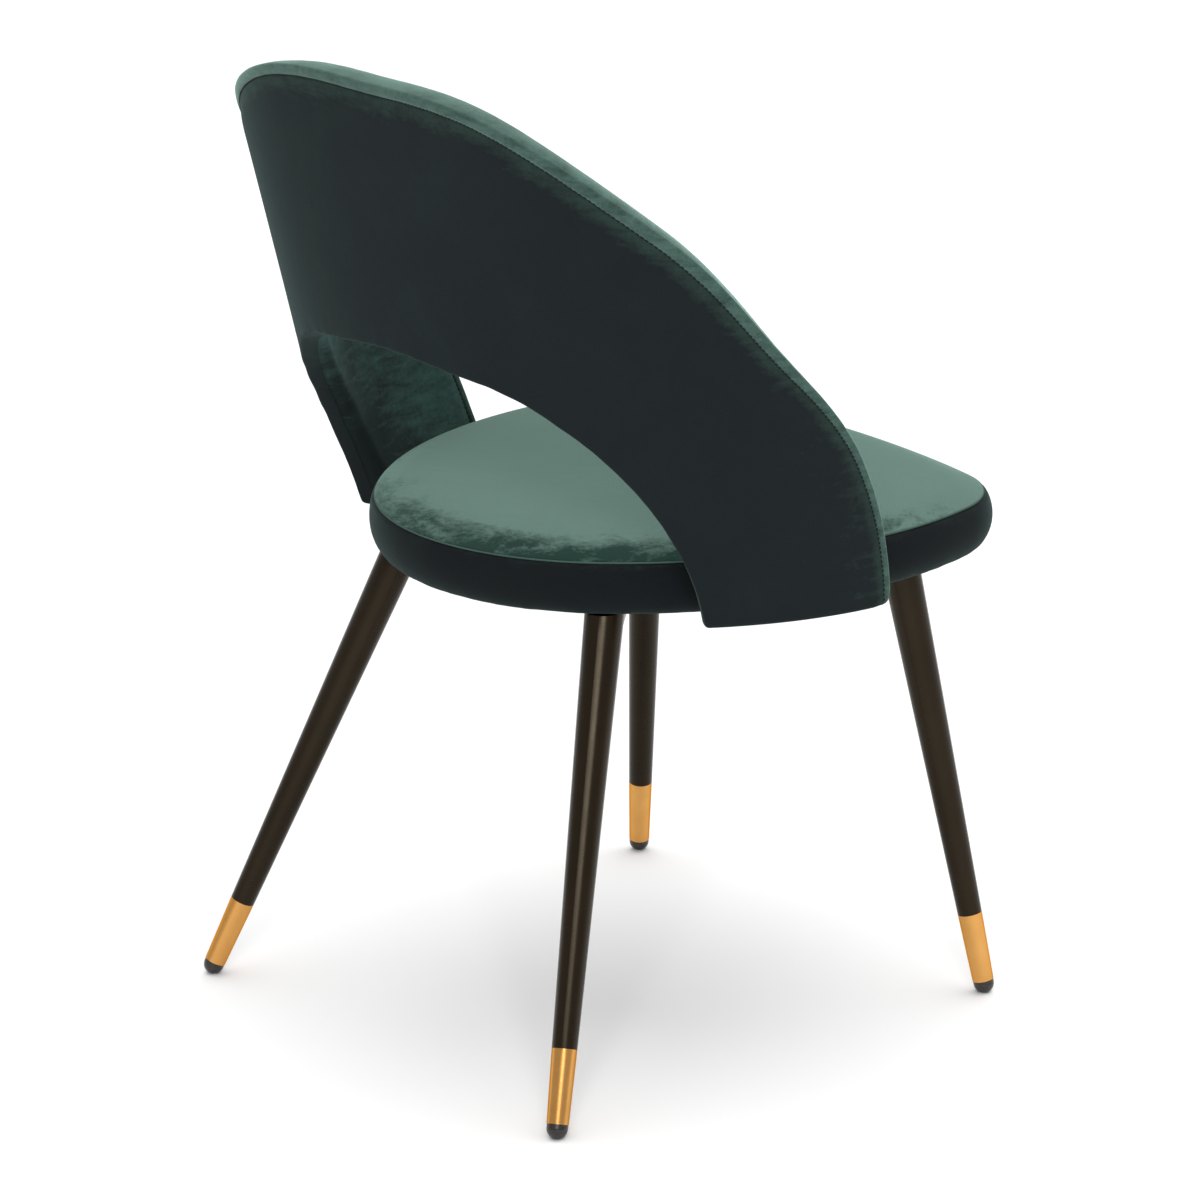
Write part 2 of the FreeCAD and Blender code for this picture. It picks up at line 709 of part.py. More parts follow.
def bar(label, start, heading, length, tools):
    """A rectangular tube from start along heading, cut back by the pieces it is welded to."""
    body = new_body(f"{label}_body", FreeCAD.Placement(start, FreeCAD.Rotation(UP, heading)))
    for name, inset in (("outside", "0"), ("inside", "Dims.bar_wall")):
        sketch = new_sketch(body, f"{label}_{name}", "YZ_Plane")
        half = f"(Dims.bar_width / 2 - {inset})"
        low = f"(Dims.bar_top - Dims.bar_depth + {inset})"
        high = f"(Dims.bar_top - {inset})"
        polygon(sketch, [(f"-{half}", low), (half, low), (half, high), (f"-{half}", high)])
        if name == "outside":
            pad(body, sketch, length)
        else:
            pocket(body, sketch, upward=True)
    shape = body
    for index, tool in enumerate(tools):
        cut = doc.addObject("Part::Cut", f"{label}_cut_{index}")
        cut.Base = shape
        cut.Tool = tool
        shape = cut
    return keep(shape, label)


def make_underframe():
    """One long bar, two half bars welded against it, and a plate on each arm."""
    middle = FreeCAD.Vector(0, dim("frame_centre"), 0)
    headings = {}
    for end, sign in (("rear", 1), ("front", -1)):
        rise, run = arm_slope(end)
        headings[end] = math.degrees(math.atan2(sign * rise, run))
    cones = {corner: leg_cone(corner) for corner in CORNERS}
    mid_rise = dim("bar_depth") / 2
    extra = {end: mid_rise * math.tan(math.radians(dim(f"{end}_lean"))) for end in ("rear", "front")}

    turn = FreeCAD.Rotation(UP, headings["rear"])
    length = dim("rear_arm") + dim("front_arm") + extra["rear"] + extra["front"]
    start = middle - turn.multVec(FreeCAD.Vector(dim("front_arm") + extra["front"], 0, 0))
    ends = [cones["rear_left"], cones["front_right"]]
    bar("underframe_long_bar", start, headings["rear"], f"{length}", ends)

    half_width = turn.multVec(FreeCAD.Vector(0, dim("bar_width") / 2, 0))
    low_corner = start + UP * (dim("bar_top") - dim("bar_depth")) - half_width
    solid_bar = cutter(
        "long_bar_envelope",
        "Part::Box",
        FreeCAD.Placement(low_corner, turn),
        Length=f"{length}",
        Width="Dims.bar_width",
        Height="Dims.bar_depth",
    )
    half_bars = (("rear", "right", 180 - headings["rear"]), ("front", "left", headings["front"]))
    for end, side, heading in half_bars:
        reach_out = dim(f"{end}_arm") + extra[end]
        cuts = [solid_bar, cones[f"{end}_{side}"]]
        bar(f"underframe_{end}_{side}_bar", middle, heading, f"{reach_out}", cuts)

    for corner, (x, y, angle) in plate_centres().items():
        place = FreeCAD.Placement(FreeCAD.Vector(x, y, 0), FreeCAD.Rotation(UP, math.degrees(angle)))
        plate = new_body(f"{corner}_plate", place)
        outline = new_sketch(plate, f"{corner}_plate_outline", "XY_Plane", "Dims.bar_top")
        half_length = "(Dims.plate_length / 2)"
        half_span = "(Dims.plate_span / 2)"
        corners = [("-", "-"), ("", "-"), ("", ""), ("-", "")]
        polygon(outline, [(f"{a}{half_length}", f"{b}{half_span}") for a, b in corners])
        pad(plate, outline, "Dims.plate_thickness")
        holes = new_sketch(plate, f"{corner}_plate_holes", "XY_Plane", "Dims.bar_top")
        half_spacing = dim("plate_hole_spacing") / 2
        circles(holes, [(0, -half_spacing), (0, half_spacing)], "Dims.screw_radius + Dims.screw_clearance")
        pocket(plate, holes, upward=True)
        keep(plate, f"{corner}_mounting_plate")


# ---------------------------------------------------------------- fasteners and brackets


def fastener(name, corners):
    """One turned fastener standing on Z, from its half section."""
    body = new_body(name)
    profile = new_sketch(body, f"{name}_profile", "XZ_Plane")
    polygon(profile, corners)
    revolve(body, profile)
    return body


def group(label, body, places):
    """Copies of one fastener at several placements, as one sub-part of separate solids."""
    links = []
    for index, place in enumerate(places):
        link = doc.addObject("App::Link", f"{label}_{index}")
        link.LinkedObject = body
        link.LinkTransform = True
        link.Placement = place
        links.append(link)
    compound = doc.addObject("Part::Compound", f"{label}_group")
    compound.Links = links
    return keep(compound, label)


def make_frame_fasteners():
    """Screws, washers and tee nuts that clamp the mounting plates to the seat board."""
    places = [FreeCAD.Placement(FreeCAD.Vector(x, y, 0), FreeCAD.Rotation()) for x, y in screw_places()]
    under_plate = "Dims.bar_top"
    under_washer = f"({under_plate} - Dims.washer_thickness)"
    head_bottom = f"({under_washer} - Dims.screw_head_height)"
    shank_top = f"({under_washer} + Dims.screw_length)"
    screw = fastener(
        "frame_screw",
        [
            ("0", head_bottom),
            ("Dims.screw_head_radius * 0.8", head_bottom),
            ("Dims.screw_head_radius", f"{under_washer} - Dims.screw_head_height * 0.6"),
            ("Dims.screw_head_radius", under_washer),
            ("Dims.screw_radius", under_washer),
            ("Dims.screw_radius", shank_top),
            ("0", shank_top),
        ],
    )
    group("frame_screws", screw, places)

    hole = "Dims.screw_radius + Dims.screw_clearance"
    washer = fastener(
        "frame_washer",
        [
            (hole, under_washer),
            ("Dims.washer_radius", under_washer),
            ("Dims.washer_radius", under_plate),
            (hole, under_plate),
        ],
    )
    group("frame_washers", washer, places)

    board_top = "(Dims.seat_board_bottom + Dims.seat_board_thickness)"
    flange_top = f"({board_top} + Dims.tee_nut_flange)"
    nut = fastener(
        "tee_nut",
        [
            ("Dims.screw_radius", "Dims.seat_board_bottom + Dims.tee_nut_set_back"),
            ("Dims.tee_nut_radius", "Dims.seat_board_bottom + Dims.tee_nut_set_back"),
            ("Dims.tee_nut_radius", board_top),
            ("Dims.tee_nut_flange_radius", board_top),
            ("Dims.tee_nut_flange_radius", flange_top),
            ("Dims.screw_radius", flange_top),
        ],
    )
    group("tee_nuts", nut, places)


def bracket_placement(side):
    """Z up through the middle of the back's ring and X out towards the wing."""
    angle = dim("bracket_angle") if side == "left" else 180 - dim("bracket_angle")
    return FreeCAD.Placement(FreeCAD.Vector(0, dim("back_axis"), 0), FreeCAD.Rotation(UP, angle))


def make_brackets():
    """An angle bracket under each side of the seat, its upright let into the wing, and its wood screws."""
    brackets = []
    outer_foot = "(Dims.bracket_reach - Dims.bracket_lean * Dims.plate_thickness)"
    outer_top = "(Dims.bracket_reach + Dims.bracket_lean * (Dims.bracket_top - Dims.seat_bottom))"
    for side in ("left", "right"):
        body = new_body(f"{side}_bracket", bracket_placement(side))
        profile = new_sketch(body, f"{side}_bracket_profile", "XZ_Plane")
        polygon(
            profile,
            [
                ("Dims.bracket_start", "Dims.bar_top"),
                (outer_foot, "Dims.bar_top"),
                (outer_top, "Dims.bracket_top"),
                (f"{outer_top} - Dims.plate_thickness", "Dims.bracket_top"),
                ("Dims.bracket_reach - Dims.plate_thickness", "Dims.seat_bottom"),
                ("Dims.bracket_start", "Dims.seat_bottom"),
            ],
        )
        pad(body, profile, "Dims.bracket_width", midplane=True)
        half = dim("bracket_hole_spacing") / 2
        seat_holes = new_sketch(body, f"{side}_seat_holes", "XY_Plane", "Dims.bar_top")
        row = dim("seat_screw_row")
        circles(seat_holes, [(row, -half), (row, half)], "Dims.wood_screw_radius")
        pocket(body, seat_holes, "Dims.plate_thickness", upward=True)
        inside_wing = "Dims.bracket_reach - Dims.wing_hole_margin"
        wing_holes = new_sketch(body, f"{side}_wing_holes", "YZ_Plane", inside_wing)
        height = dim("wing_screw_height")
        circles(wing_holes, [(-half, height), (half, height)], "Dims.wood_screw_radius")
        pocket(body, wing_holes, "3 * Dims.wing_hole_margin", upward=True)
        brackets.append(keep(body, f"{side}_wing_bracket"))

    head = "(-Dims.wood_screw_head)"
    screw = fastener(
        "wood_screw",
        [
            ("0", head),
            ("Dims.wood_screw_head_radius * 0.75", head),
            ("Dims.wood_screw_head_radius", "-Dims.wood_screw_head * 0.4"),
            ("Dims.wood_screw_head_radius", "0"),
            ("Dims.wood_screw_radius", "0"),
            ("Dims.wood_screw_radius", "Dims.wood_screw_length - Dims.wood_screw_point"),
            ("0", "Dims.wood_screw_length"),
        ],
    )
    inner_face = dim("bracket_reach") - dim("plate_thickness")
    inner_face += dim("bracket_lean") * (dim("wing_screw_height") - dim("seat_bottom"))
    places = []
    for side in ("left", "right"):
        for across in (-half, half):
            upward = FreeCAD.Placement(
                FreeCAD.Vector(dim("seat_screw_row"), across, dim("bar_top")), FreeCAD.Rotation()
            )
            outward = FreeCAD.Placement(
                FreeCAD.Vector(inner_face - dim("wing_screw_stand_off"), across, dim("wing_screw_height")),
                FreeCAD.Rotation(FreeCAD.Vector(0, 1, 0), 90),
            )
            places += [bracket_placement(side) * upward, bracket_placement(side) * outward]
    screws = group("bracket_screws", screw, places)
    return brackets + [screws]


# ---------------------------------------------------------------- build, check and write

make_seat()
make_underframe()
for corner_name in CORNERS:
    make_leg(corner_name)
make_frame_fasteners()
let_in = make_brackets()
doc.recompute()
make_back([piece.Shape for piece in let_in])
doc.recompute()

for item in doc.Objects:
    if "Invalid" in item.State or "Error" in item.State:
        raise RuntimeError(f"{item.Label} failed: {item.State}")
for item in subparts:
    if item.Shape.isNull() or not item.Shape.isValid():
        raise RuntimeError(f"{item.Label} has a null or invalid shape")

os.makedirs("parts", exist_ok=True)
for item in subparts:
    item.Shape.exportStep(f"parts/{item.Label}.step")

boxes = [item.Shape.BoundBox for item in subparts]
low = [min(getattr(box, side) for box in boxes) for side in ("XMin", "YMin", "ZMin")]
high = [max(getattr(box, side) for box in boxes) for side in ("XMax", "YMax", "ZMax")]
print(f"{len(subparts)} sub-parts, from {low} to {high}")
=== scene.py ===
import json
import math

import bmesh
import bpy
import numpy as np
from mathutils import Matrix, Vector
from mathutils.noise import noise_vector, seed_set


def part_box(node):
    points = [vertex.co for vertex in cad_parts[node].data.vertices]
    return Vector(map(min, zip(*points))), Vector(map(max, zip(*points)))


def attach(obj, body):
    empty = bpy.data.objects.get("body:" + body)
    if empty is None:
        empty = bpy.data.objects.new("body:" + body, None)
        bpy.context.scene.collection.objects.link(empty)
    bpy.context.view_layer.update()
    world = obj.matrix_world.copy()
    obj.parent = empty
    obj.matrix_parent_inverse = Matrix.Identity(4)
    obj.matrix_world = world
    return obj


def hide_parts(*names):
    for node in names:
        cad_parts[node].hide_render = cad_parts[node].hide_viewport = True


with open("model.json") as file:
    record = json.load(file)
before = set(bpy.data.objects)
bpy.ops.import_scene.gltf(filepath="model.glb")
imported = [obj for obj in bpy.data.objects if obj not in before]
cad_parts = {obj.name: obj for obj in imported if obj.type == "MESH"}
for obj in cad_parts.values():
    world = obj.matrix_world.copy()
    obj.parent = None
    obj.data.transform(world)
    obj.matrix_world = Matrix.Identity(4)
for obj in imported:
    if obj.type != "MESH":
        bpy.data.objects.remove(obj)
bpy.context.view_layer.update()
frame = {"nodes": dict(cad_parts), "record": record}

MM = 0.001

# noise_vector starts from the clock's time unless it has a seed of its own.
NOISE_SEED = 12
seed_set(NOISE_SEED)

# ---------------------------------------------------------------- camera

CAMERA_AZIMUTH = math.radians(231.15)
CAMERA_ELEVATION = math.radians(17.93)
CAMERA_ROLL = math.radians(-0.83)
CAMERA_DISTANCE = 4.894
CAMERA_TARGET = Vector((0.025, -0.0035, 0.3438))
CAMERA_LENS = 168.4
CAMERA_SENSOR = 36
CAMERA_FAR_CLIP = 100


def make_camera():
    """The photograph's view: from behind the chair's right side, a little above it, through a long lens."""
    level = math.cos(CAMERA_ELEVATION)
    back = Vector(
        (math.sin(CAMERA_AZIMUTH) * level, -math.cos(CAMERA_AZIMUTH) * level, math.sin(CAMERA_ELEVATION))
    )
    right = (-back).cross(Vector((0, 0, 1))).normalized()
    up = right.cross(-back)
    tilted_right = right * math.cos(CAMERA_ROLL) + up * math.sin(CAMERA_ROLL)
    tilted_up = up * math.cos(CAMERA_ROLL) - right * math.sin(CAMERA_ROLL)
    data = bpy.data.cameras.new("camera")
    data.sensor_width = CAMERA_SENSOR
    data.lens = CAMERA_LENS
    data.clip_end = CAMERA_FAR_CLIP
    camera = bpy.data.objects.new("camera", data)
    bpy.context.scene.collection.objects.link(camera)
    matrix = Matrix((tilted_right, tilted_up, back)).transposed().to_4x4()
    matrix.translation = CAMERA_TARGET + back * CAMERA_DISTANCE
    camera.matrix_world = matrix
    bpy.context.scene.camera = camera


# ---------------------------------------------------------------- materials


class Nodes:
    """Short names for building a material's node tree."""

    def __init__(self, name):
        self.material = bpy.data.materials.new(name)
        self.material.use_nodes = True
        self.tree = self.material.node_tree
        self.shader = self.tree.nodes["Principled BSDF"]

    def add(self, kind, **settings):
        node = self.tree.nodes.new(kind)
        for key, value in settings.items():
            setattr(node, key, value)
        return node

    def link(self, source, target):
        self.tree.links.new(source, target)

    def feed(self, socket, source):
        """Links a source to a socket of the shader."""
        self.link(source, self.shader.inputs[socket])

    def set(self, **values):
        """Constants for the shader's sockets, with an underscore for each space in a name."""
        for key, value in values.items():
            self.shader.inputs[key.replace("_", " ")].default_value = value

    def place(self, scale=(1, 1, 1)):
        """Object coordinates, stretched by scale."""
        where = self.add("ShaderNodeTexCoord")
        mapping = self.add("ShaderNodeMapping")
        mapping.inputs["Scale"].default_value = scale
        self.link(where.outputs["Object"], mapping.inputs["Vector"])
        return mapping.outputs["Vector"]

    def noise(self, where, scale, detail=2.0, roughness=0.5, distortion=0.0):
        node = self.add("ShaderNodeTexNoise")
        node.inputs["Scale"].default_value = scale
        node.inputs["Detail"].default_value = detail
        node.inputs["Roughness"].default_value = roughness
        node.inputs["Distortion"].default_value = distortion
        self.link(where, node.inputs["Vector"])
        return node.outputs["Fac"]

    def ramp(self, value, stops):
        """Turns a value into a colour between (position, colour) stops."""
        node = self.add("ShaderNodeValToRGB")
        while len(node.color_ramp.elements) < len(stops):
            node.color_ramp.elements.new(0.5)
        for element, (position, colour) in zip(node.color_ramp.elements, stops):
            element.position = position
            element.color = (*colour, 1)
        self.link(value, node.inputs["Fac"])
        return node.outputs["Color"]

    def mix(self, factor, first, second, blend="MIX"):
        node = self.add("ShaderNodeMix", data_type="RGBA", blend_type=blend)
        factor_socket, first_socket, second_socket = node.inputs[0], node.inputs[6], node.inputs[7]
        for source, socket in ((factor, factor_socket), (first, first_socket), (second, second_socket)):
            if isinstance(source, bpy.types.NodeSocket):
                self.link(source, socket)
            elif isinstance(source, tuple):
                socket.default_value = (*source, 1)
            else:
                socket.default_value = source
        return node.outputs[2]

    def math(self, operation, first, second, clamp=False):
        node = self.add("ShaderNodeMath", operation=operation, use_clamp=clamp)
        for value, socket in ((first, node.inputs[0]), (second, node.inputs[1])):
            if isinstance(value, bpy.types.NodeSocket):
                self.link(value, socket)
            else:
                socket.default_value = value
        return node.outputs[0]

    def bump(self, height, strength, distance, below=None):
        node = self.add("ShaderNodeBump")
        node.inputs["Strength"].default_value = strength
        node.inputs["Distance"].default_value = distance
        self.link(height, node.inputs["Height"])
        if below is not None:
            self.link(below, node.inputs["Normal"])
        return node.outputs["Normal"]


STREAK_SHARE = 1.5
SPECKLE_SHARE = 0.9
PAINTED_LIGHT_THRESHOLD = 1.62
PILE_CONTRAST = 0.26


def grey(level):
    return (level, level, level)


def velvet(name, deep, painted_light_colour, sheen, sheen_tint, painted_light_gain=1.5, clouds=0.12):
    """Short-pile velvet: the deep colour, turning to a painted light colour where the painted light attribute
    is high.

    The painted light is painted sheen on most pieces and painted shade on the seat's top. Streaks and speckle
    give the painted area a ragged edge, and faint clouds vary the rest.
    """
    m = Nodes(name)
    plain = m.place()
    cloudy = m.noise(plain, scale=11, detail=4, roughness=0.6, distortion=0.8)
    streaks = m.noise(m.place((1, 1, 4)), scale=30, detail=4, roughness=0.65, distortion=0.5)
    speckle = m.noise(plain, scale=210, detail=5, roughness=0.75)
    painted_light = m.add("ShaderNodeAttribute", attribute_name="painted_light").outputs["Fac"]
    streaks = m.math("MULTIPLY", streaks, STREAK_SHARE)
    speckle = m.math("MULTIPLY", speckle, SPECKLE_SHARE)
    painted_light_ragged = m.math("ADD", painted_light, m.math("ADD", streaks, speckle))
    above_threshold = m.math("SUBTRACT", painted_light_ragged, PAINTED_LIGHT_THRESHOLD)
    amount = m.math("MULTIPLY", above_threshold, painted_light_gain, clamp=True)
    colour = m.mix(clouds, deep, m.ramp(cloudy, [(0.40, deep), (0.72, painted_light_colour)]))
    # Painted sheen or painted shade: the painted light colour mixed in where the attribute is high.
    colour = m.mix(amount, colour, painted_light_colour)
    pile = m.noise(plain, scale=1500, detail=2, roughness=0.7)
    fibres = m.ramp(pile, [(0.25, grey(1 - PILE_CONTRAST)), (0.75, grey(1 + PILE_CONTRAST))])
    m.feed("Base Color", m.mix(1.0, colour, fibres, blend="MULTIPLY"))
    uneven = m.noise(plain, scale=95, detail=3, roughness=0.55)
    soft = m.bump(uneven, strength=0.10, distance=0.002)
    m.feed("Normal", m.bump(pile, strength=0.35, distance=0.0006, below=soft))
    m.set(
        Roughness=0.92,
        Specular_IOR_Level=0.12,
        Sheen_Weight=sheen,
        Sheen_Roughness=0.38,
        Sheen_Tint=(*sheen_tint, 1),
    )
    return m.material


def lining_cloth():
    """Black non-woven cloth with a pressed dot pattern."""
    m = Nodes("lining_cloth")
    plain = m.place()
    dots = m.add("ShaderNodeTexVoronoi")
    dots.inputs["Scale"].default_value = 420
    m.link(plain, dots.inputs["Vector"])
    fibres = m.noise(plain, scale=700, detail=4, roughness=0.7)
    m.feed("Base Color", m.ramp(fibres, [(0.3, (0.006, 0.006, 0.007)), (0.8, (0.03, 0.03, 0.032))]))
    m.feed("Normal", m.bump(dots.outputs["Distance"], strength=0.5, distance=0.0005))
    m.set(Roughness=0.95, Specular_IOR_Level=0.1)
    return m.material


def leg_paint():
    """Satin brown-black powder coat over steel, with a fine orange-peel skin."""
    m = Nodes("leg_paint")
    plain = m.place()
    cloudy = m.noise(plain, scale=14, detail=3)
    dull = m.noise(plain, scale=60, detail=3)
    peel = m.noise(plain, scale=900, detail=2)
    m.feed("Base Color", m.ramp(cloudy, [(0.3, (0.007, 0.004, 0.002)), (0.75, (0.011, 0.007, 0.004))]))
    m.feed("Roughness", m.ramp(dull, [(0.3, grey(0.23)), (0.7, grey(0.29))]))
    m.feed("Normal", m.bump(peel, strength=0.12, distance=0.0003))
    m.set(Specular_IOR_Level=0.22, Specular_Tint=(1.0, 0.84, 0.60, 1))
    return m.material


def tip_metal():
    """Satin gold-coloured metal with faint turning lines round the tip and small handling marks."""
    m = Nodes("tip_metal")
    lines = m.noise(m.place((60, 60, 2200)), scale=1.0, detail=2)
    marks = m.noise(m.place(), scale=45, detail=4, roughness=0.6)
    m.feed("Base Color", m.ramp(marks, [(0.3, (0.62, 0.31, 0.085)), (0.75, (0.69, 0.36, 0.11))]))
    m.feed("Roughness", m.ramp(lines, [(0.3, grey(0.20)), (0.75, grey(0.26))]))
    m.feed("Normal", m.bump(lines, strength=0.02, distance=0.0001))
    m.set(Metallic=1.0, Specular_Tint=(0.75, 0.42, 0.2, 1))
    return m.material


def glide_plastic():
    """Black moulded plastic with small scuffs."""
    m = Nodes("glide_plastic")
    scuffs = m.noise(m.place((1, 1, 3)), scale=220, detail=5, roughness=0.7)
    m.feed("Base Color", m.ramp(scuffs, [(0.45, (0.010, 0.008, 0.007)), (0.8, (0.045, 0.038, 0.03))]))
    m.feed("Roughness", m.ramp(scuffs, [(0.4, grey(0.22)), (0.75, grey(0.5))]))
    m.feed("Normal", m.bump(scuffs, strength=0.1, distance=0.0003))
    m.set(Specular_IOR_Level=0.5)
    return m.material


def zinc_steel():
    """Zinc-plated steel: a dull blue-grey with a crystalline bloom."""
    m = Nodes("zinc_steel")
    plain = m.place()
    bloom = m.add("ShaderNodeTexVoronoi")
    bloom.inputs["Scale"].default_value = 160
    m.link(plain, bloom.inputs["Vector"])
    crystals = [(0.1, (0.50, 0.51, 0.52)), (0.7, (0.63, 0.63, 0.61))]
    m.feed("Base Color", m.ramp(bloom.outputs["Distance"], crystals))
    dull = m.noise(plain, scale=240, detail=3)
    m.feed("Roughness", m.ramp(dull, [(0.3, grey(0.3)), (0.7, grey(0.48))]))
    m.set(Metallic=1.0)
    return m.material


def plywood():
    """Birch plywood: long soft grain on the faces."""
    m = Nodes("plywood")
    grain = m.noise(m.place((4, 60, 60)), scale=3, detail=6, roughness=0.6, distortion=0.6)
    m.feed("Base Color", m.ramp(grain, [(0.3, (0.45, 0.30, 0.17)), (0.7, (0.68, 0.50, 0.31))]))
    m.feed("Normal", m.bump(grain, strength=0.2, distance=0.0004))
    m.set(Roughness=0.7)
    return m.material


def seam_thread(name, dark, pale):
    """Twisted polyester thread."""
    m = Nodes(name)
    twist = m.noise(m.place(), scale=2600, detail=2)
    m.feed("Base Color", m.ramp(twist, [(0.3, dark), (0.7, pale)]))
    m.feed("Normal", m.bump(twist, strength=0.4, distance=0.0003))
    m.set(Roughness=0.8, Specular_IOR_Level=0.2)
    return m.material


# ---------------------------------------------------------------- mesh helpers


def mesh_object(name, vertices, faces, materials):
    """A smooth-shaded mesh in the scene."""
    mesh = bpy.data.meshes.new(name)
    mesh.from_pydata([tuple(v) for v in vertices], [], faces)
    for material in materials:
        mesh.materials.append(material)
    mesh.polygons.foreach_set("use_smooth", [True] * len(mesh.polygons))
    mesh.update()
    piece = bpy.data.objects.new(name, mesh)
    bpy.context.scene.collection.objects.link(piece)
    return piece


def ring_faces(rings, count):
    """Quads between closed rings of count points each."""
    faces = []
    for row in range(rings - 1):
        a, b = row * count, (row + 1) * count
        for i in range(count):
            j = (i + 1) % count
            faces.append((a + i, a + j, b + j, b + i))
    return faces


def outward(piece):
    """Points every face of a closed mesh outward."""
    work = bmesh.new()
    work.from_mesh(piece.data)
    bmesh.ops.recalc_face_normals(work, faces=work.faces)
    work.to_mesh(piece.data)
    work.free()


def closed_tube(name, path, radius, material):
    """A round tube through a closed loop of points."""
    sides = 8
    vertices = []
    for i, point in enumerate(path):
        along = (path[(i + 1) % len(path)] - path[i - 1]).normalized()
        side = along.cross(Vector((0, 0, 1))).normalized()
        over = side.cross(along)
        for k in range(sides):
            turn = 2 * math.pi * k / sides
            vertices.append(point + (side * math.cos(turn) + over * math.sin(turn)) * radius)
    faces = ring_faces(len(path), sides)
    last = (len(path) - 1) * sides
    for k in range(sides):
        after = (k + 1) % sides
        faces.append((last + k, last + after, after, k))
    return mesh_object(name, vertices, faces, [material])


def set_painted_light(piece, values):
    """Stores how much painted sheen or painted shade each vertex gets, for the velvet material."""
    attribute = piece.data.attributes.new("painted_light", "FLOAT", "POINT")
    attribute.data.foreach_set("value", [float(value) for value in values])


def smooth_more(piece):
    """One level of subdivision. The seat goes without it, to keep the render short."""
    subdivision = piece.modifiers.new("subdivision", "SUBSURF")
    subdivision.levels = 1
    subdivision.render_levels = 1
    subdivision.use_limit_surface = False


CLOTH_QUALITY = 4
CLOTH_MASS = 0.3
CLOTH_STIFFNESS = 40
CLOTH_SHEAR = 10
CLOTH_BENDING = 30.0
CLOTH_PRESSURE = 4
CLOTH_FRAMES = 20
EVEN_ROUNDS = 60
NEIGHBOUR_SHARE = 0.6
TINY = 1e-9


def even_out(mesh, move, held):
    """Averages each vertex's move with its neighbours', so that no small wrinkles stay."""
    edges = np.array([edge.vertices[:] for edge in mesh.edges])
    counts = np.bincount(edges.ravel(), minlength=len(move))[:, None]
    for _ in range(EVEN_ROUNDS):
        total = np.zeros_like(move)
        np.add.at(total, edges[:, 0], move[edges[:, 1]])
        np.add.at(total, edges[:, 1], move[edges[:, 0]])
        move = (1 - NEIGHBOUR_SHARE) * move + NEIGHBOUR_SHARE * total / counts
        move[held] = 0
    return move


def inflate(piece, held, cap):
    """Blows a cushion up by cloth simulation. Held vertices stay, and no other moves further than cap."""
    start = np.array([v.co[:] for v in piece.data.vertices])
    group = piece.vertex_groups.new(name="held")
    group.add(list(held), 1.0, "REPLACE")
    cloth = piece.modifiers.new("cloth", "CLOTH")
    settings = cloth.settings
    settings.quality = CLOTH_QUALITY
    settings.mass = CLOTH_MASS
    settings.tension_stiffness = CLOTH_STIFFNESS
    settings.compression_stiffness = CLOTH_STIFFNESS
    settings.shear_stiffness = CLOTH_SHEAR
    settings.bending_stiffness = CLOTH_BENDING
    settings.vertex_group_mass = "held"
    settings.use_pressure = True
    settings.uniform_pressure_force = CLOTH_PRESSURE
    settings.effector_weights.gravity = 0
    cloth.collision_settings.use_collision = False
    cloth.point_cache.frame_start = 1
    cloth.point_cache.frame_end = CLOTH_FRAMES
    scene = bpy.context.scene
    for step in range(1, CLOTH_FRAMES + 1):
        scene.frame_set(step)
    shape = piece.evaluated_get(bpy.context.evaluated_depsgraph_get()).data
    end = np.array([v.co[:] for v in shape.vertices])
    piece.modifiers.remove(cloth)
    piece.vertex_groups.remove(group)
    scene.frame_set(1)
    move = even_out(piece.data, end - start, np.array(list(held)))
    length = np.maximum(np.linalg.norm(move, axis=1), TINY)
    move *= (cap * np.tanh(length / cap) / length)[:, None]
    piece.data.vertices.foreach_set("co", (start + move).ravel())
    piece.data.update()


def wander(point, scale, seed):
    """A smooth noise vector at a point, with each part between -1 and 1."""
    return noise_vector(Vector(point) * scale + Vector((seed, seed * 1.7, -seed)))


# ---------------------------------------------------------------- seat

SEAT_REAR_RADIUS = 215 * MM
SEAT_REAR_CENTRE = -10.5 * MM
SEAT_SHOULDER = math.radians(45)
SEAT_FLANK_RADIUS = 344 * MM
SEAT_FLANK_END = math.radians(15.5)
SEAT_CORNER_RADIUS = 92 * MM
SEAT_CORNER_END = math.radians(79)
SEAM_HEIGHT = 450 * MM
SEAT_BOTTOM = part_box("seat_side_band")[0].z
SEAT_CROWN = 9 * MM
SEAT_POINTS = 480
SEAT_MIDDLE = Vector((0, -55 * MM, 0))
SEAT_BOTTOM_ROUNDING = 14 * MM
REAR_BULGE = 4.5
EXTRA_FRONT_BULGE = 3.0
BULGE_REACH = 250 * MM
WIDEST = 20 * MM
HEM_WIDTH = 34 * MM
HEM_RISE = 0.9 * MM
# Painted shade on the border of the seat's top: darkest on the side facing this way, weaker towards the
# front.
PAINTED_SHADE_SIDE = Vector((-0.45, 0.89, 0))
PAINTED_SHADE_BORDER = 0.19
FRONT_PAINTED_SHADE = 0.2
SEAM_PAINTED_LIGHT = 0.6
CROWN_EDGE = 0.13
CROWN_DOME = 0.35
TOP_ROWS = 24
EDGE_ROWS = 14
BAND_ROWS = 8
ROUNDING_ROWS = 14
UNDERSIDE_ROWS = 8
SEAM_ROWS = ((-0.9, 0.2), (-1.0, 0.9))
HEM_ROWS = ((18, -0.2), (24, 0.0), (30, 0.2), (34, 0.9))
WELT_RADIUS = 0.8 * MM
COVER_POINTS = 160
COVER_SHARES = (1.0, 0.985, 0.96, 0.9, 0.8, 0.65, 0.5, 0.35, 0.2, 0.08)
COVER_TUCK = 5 * MM
COVER_THICKNESS = 0.4 * MM


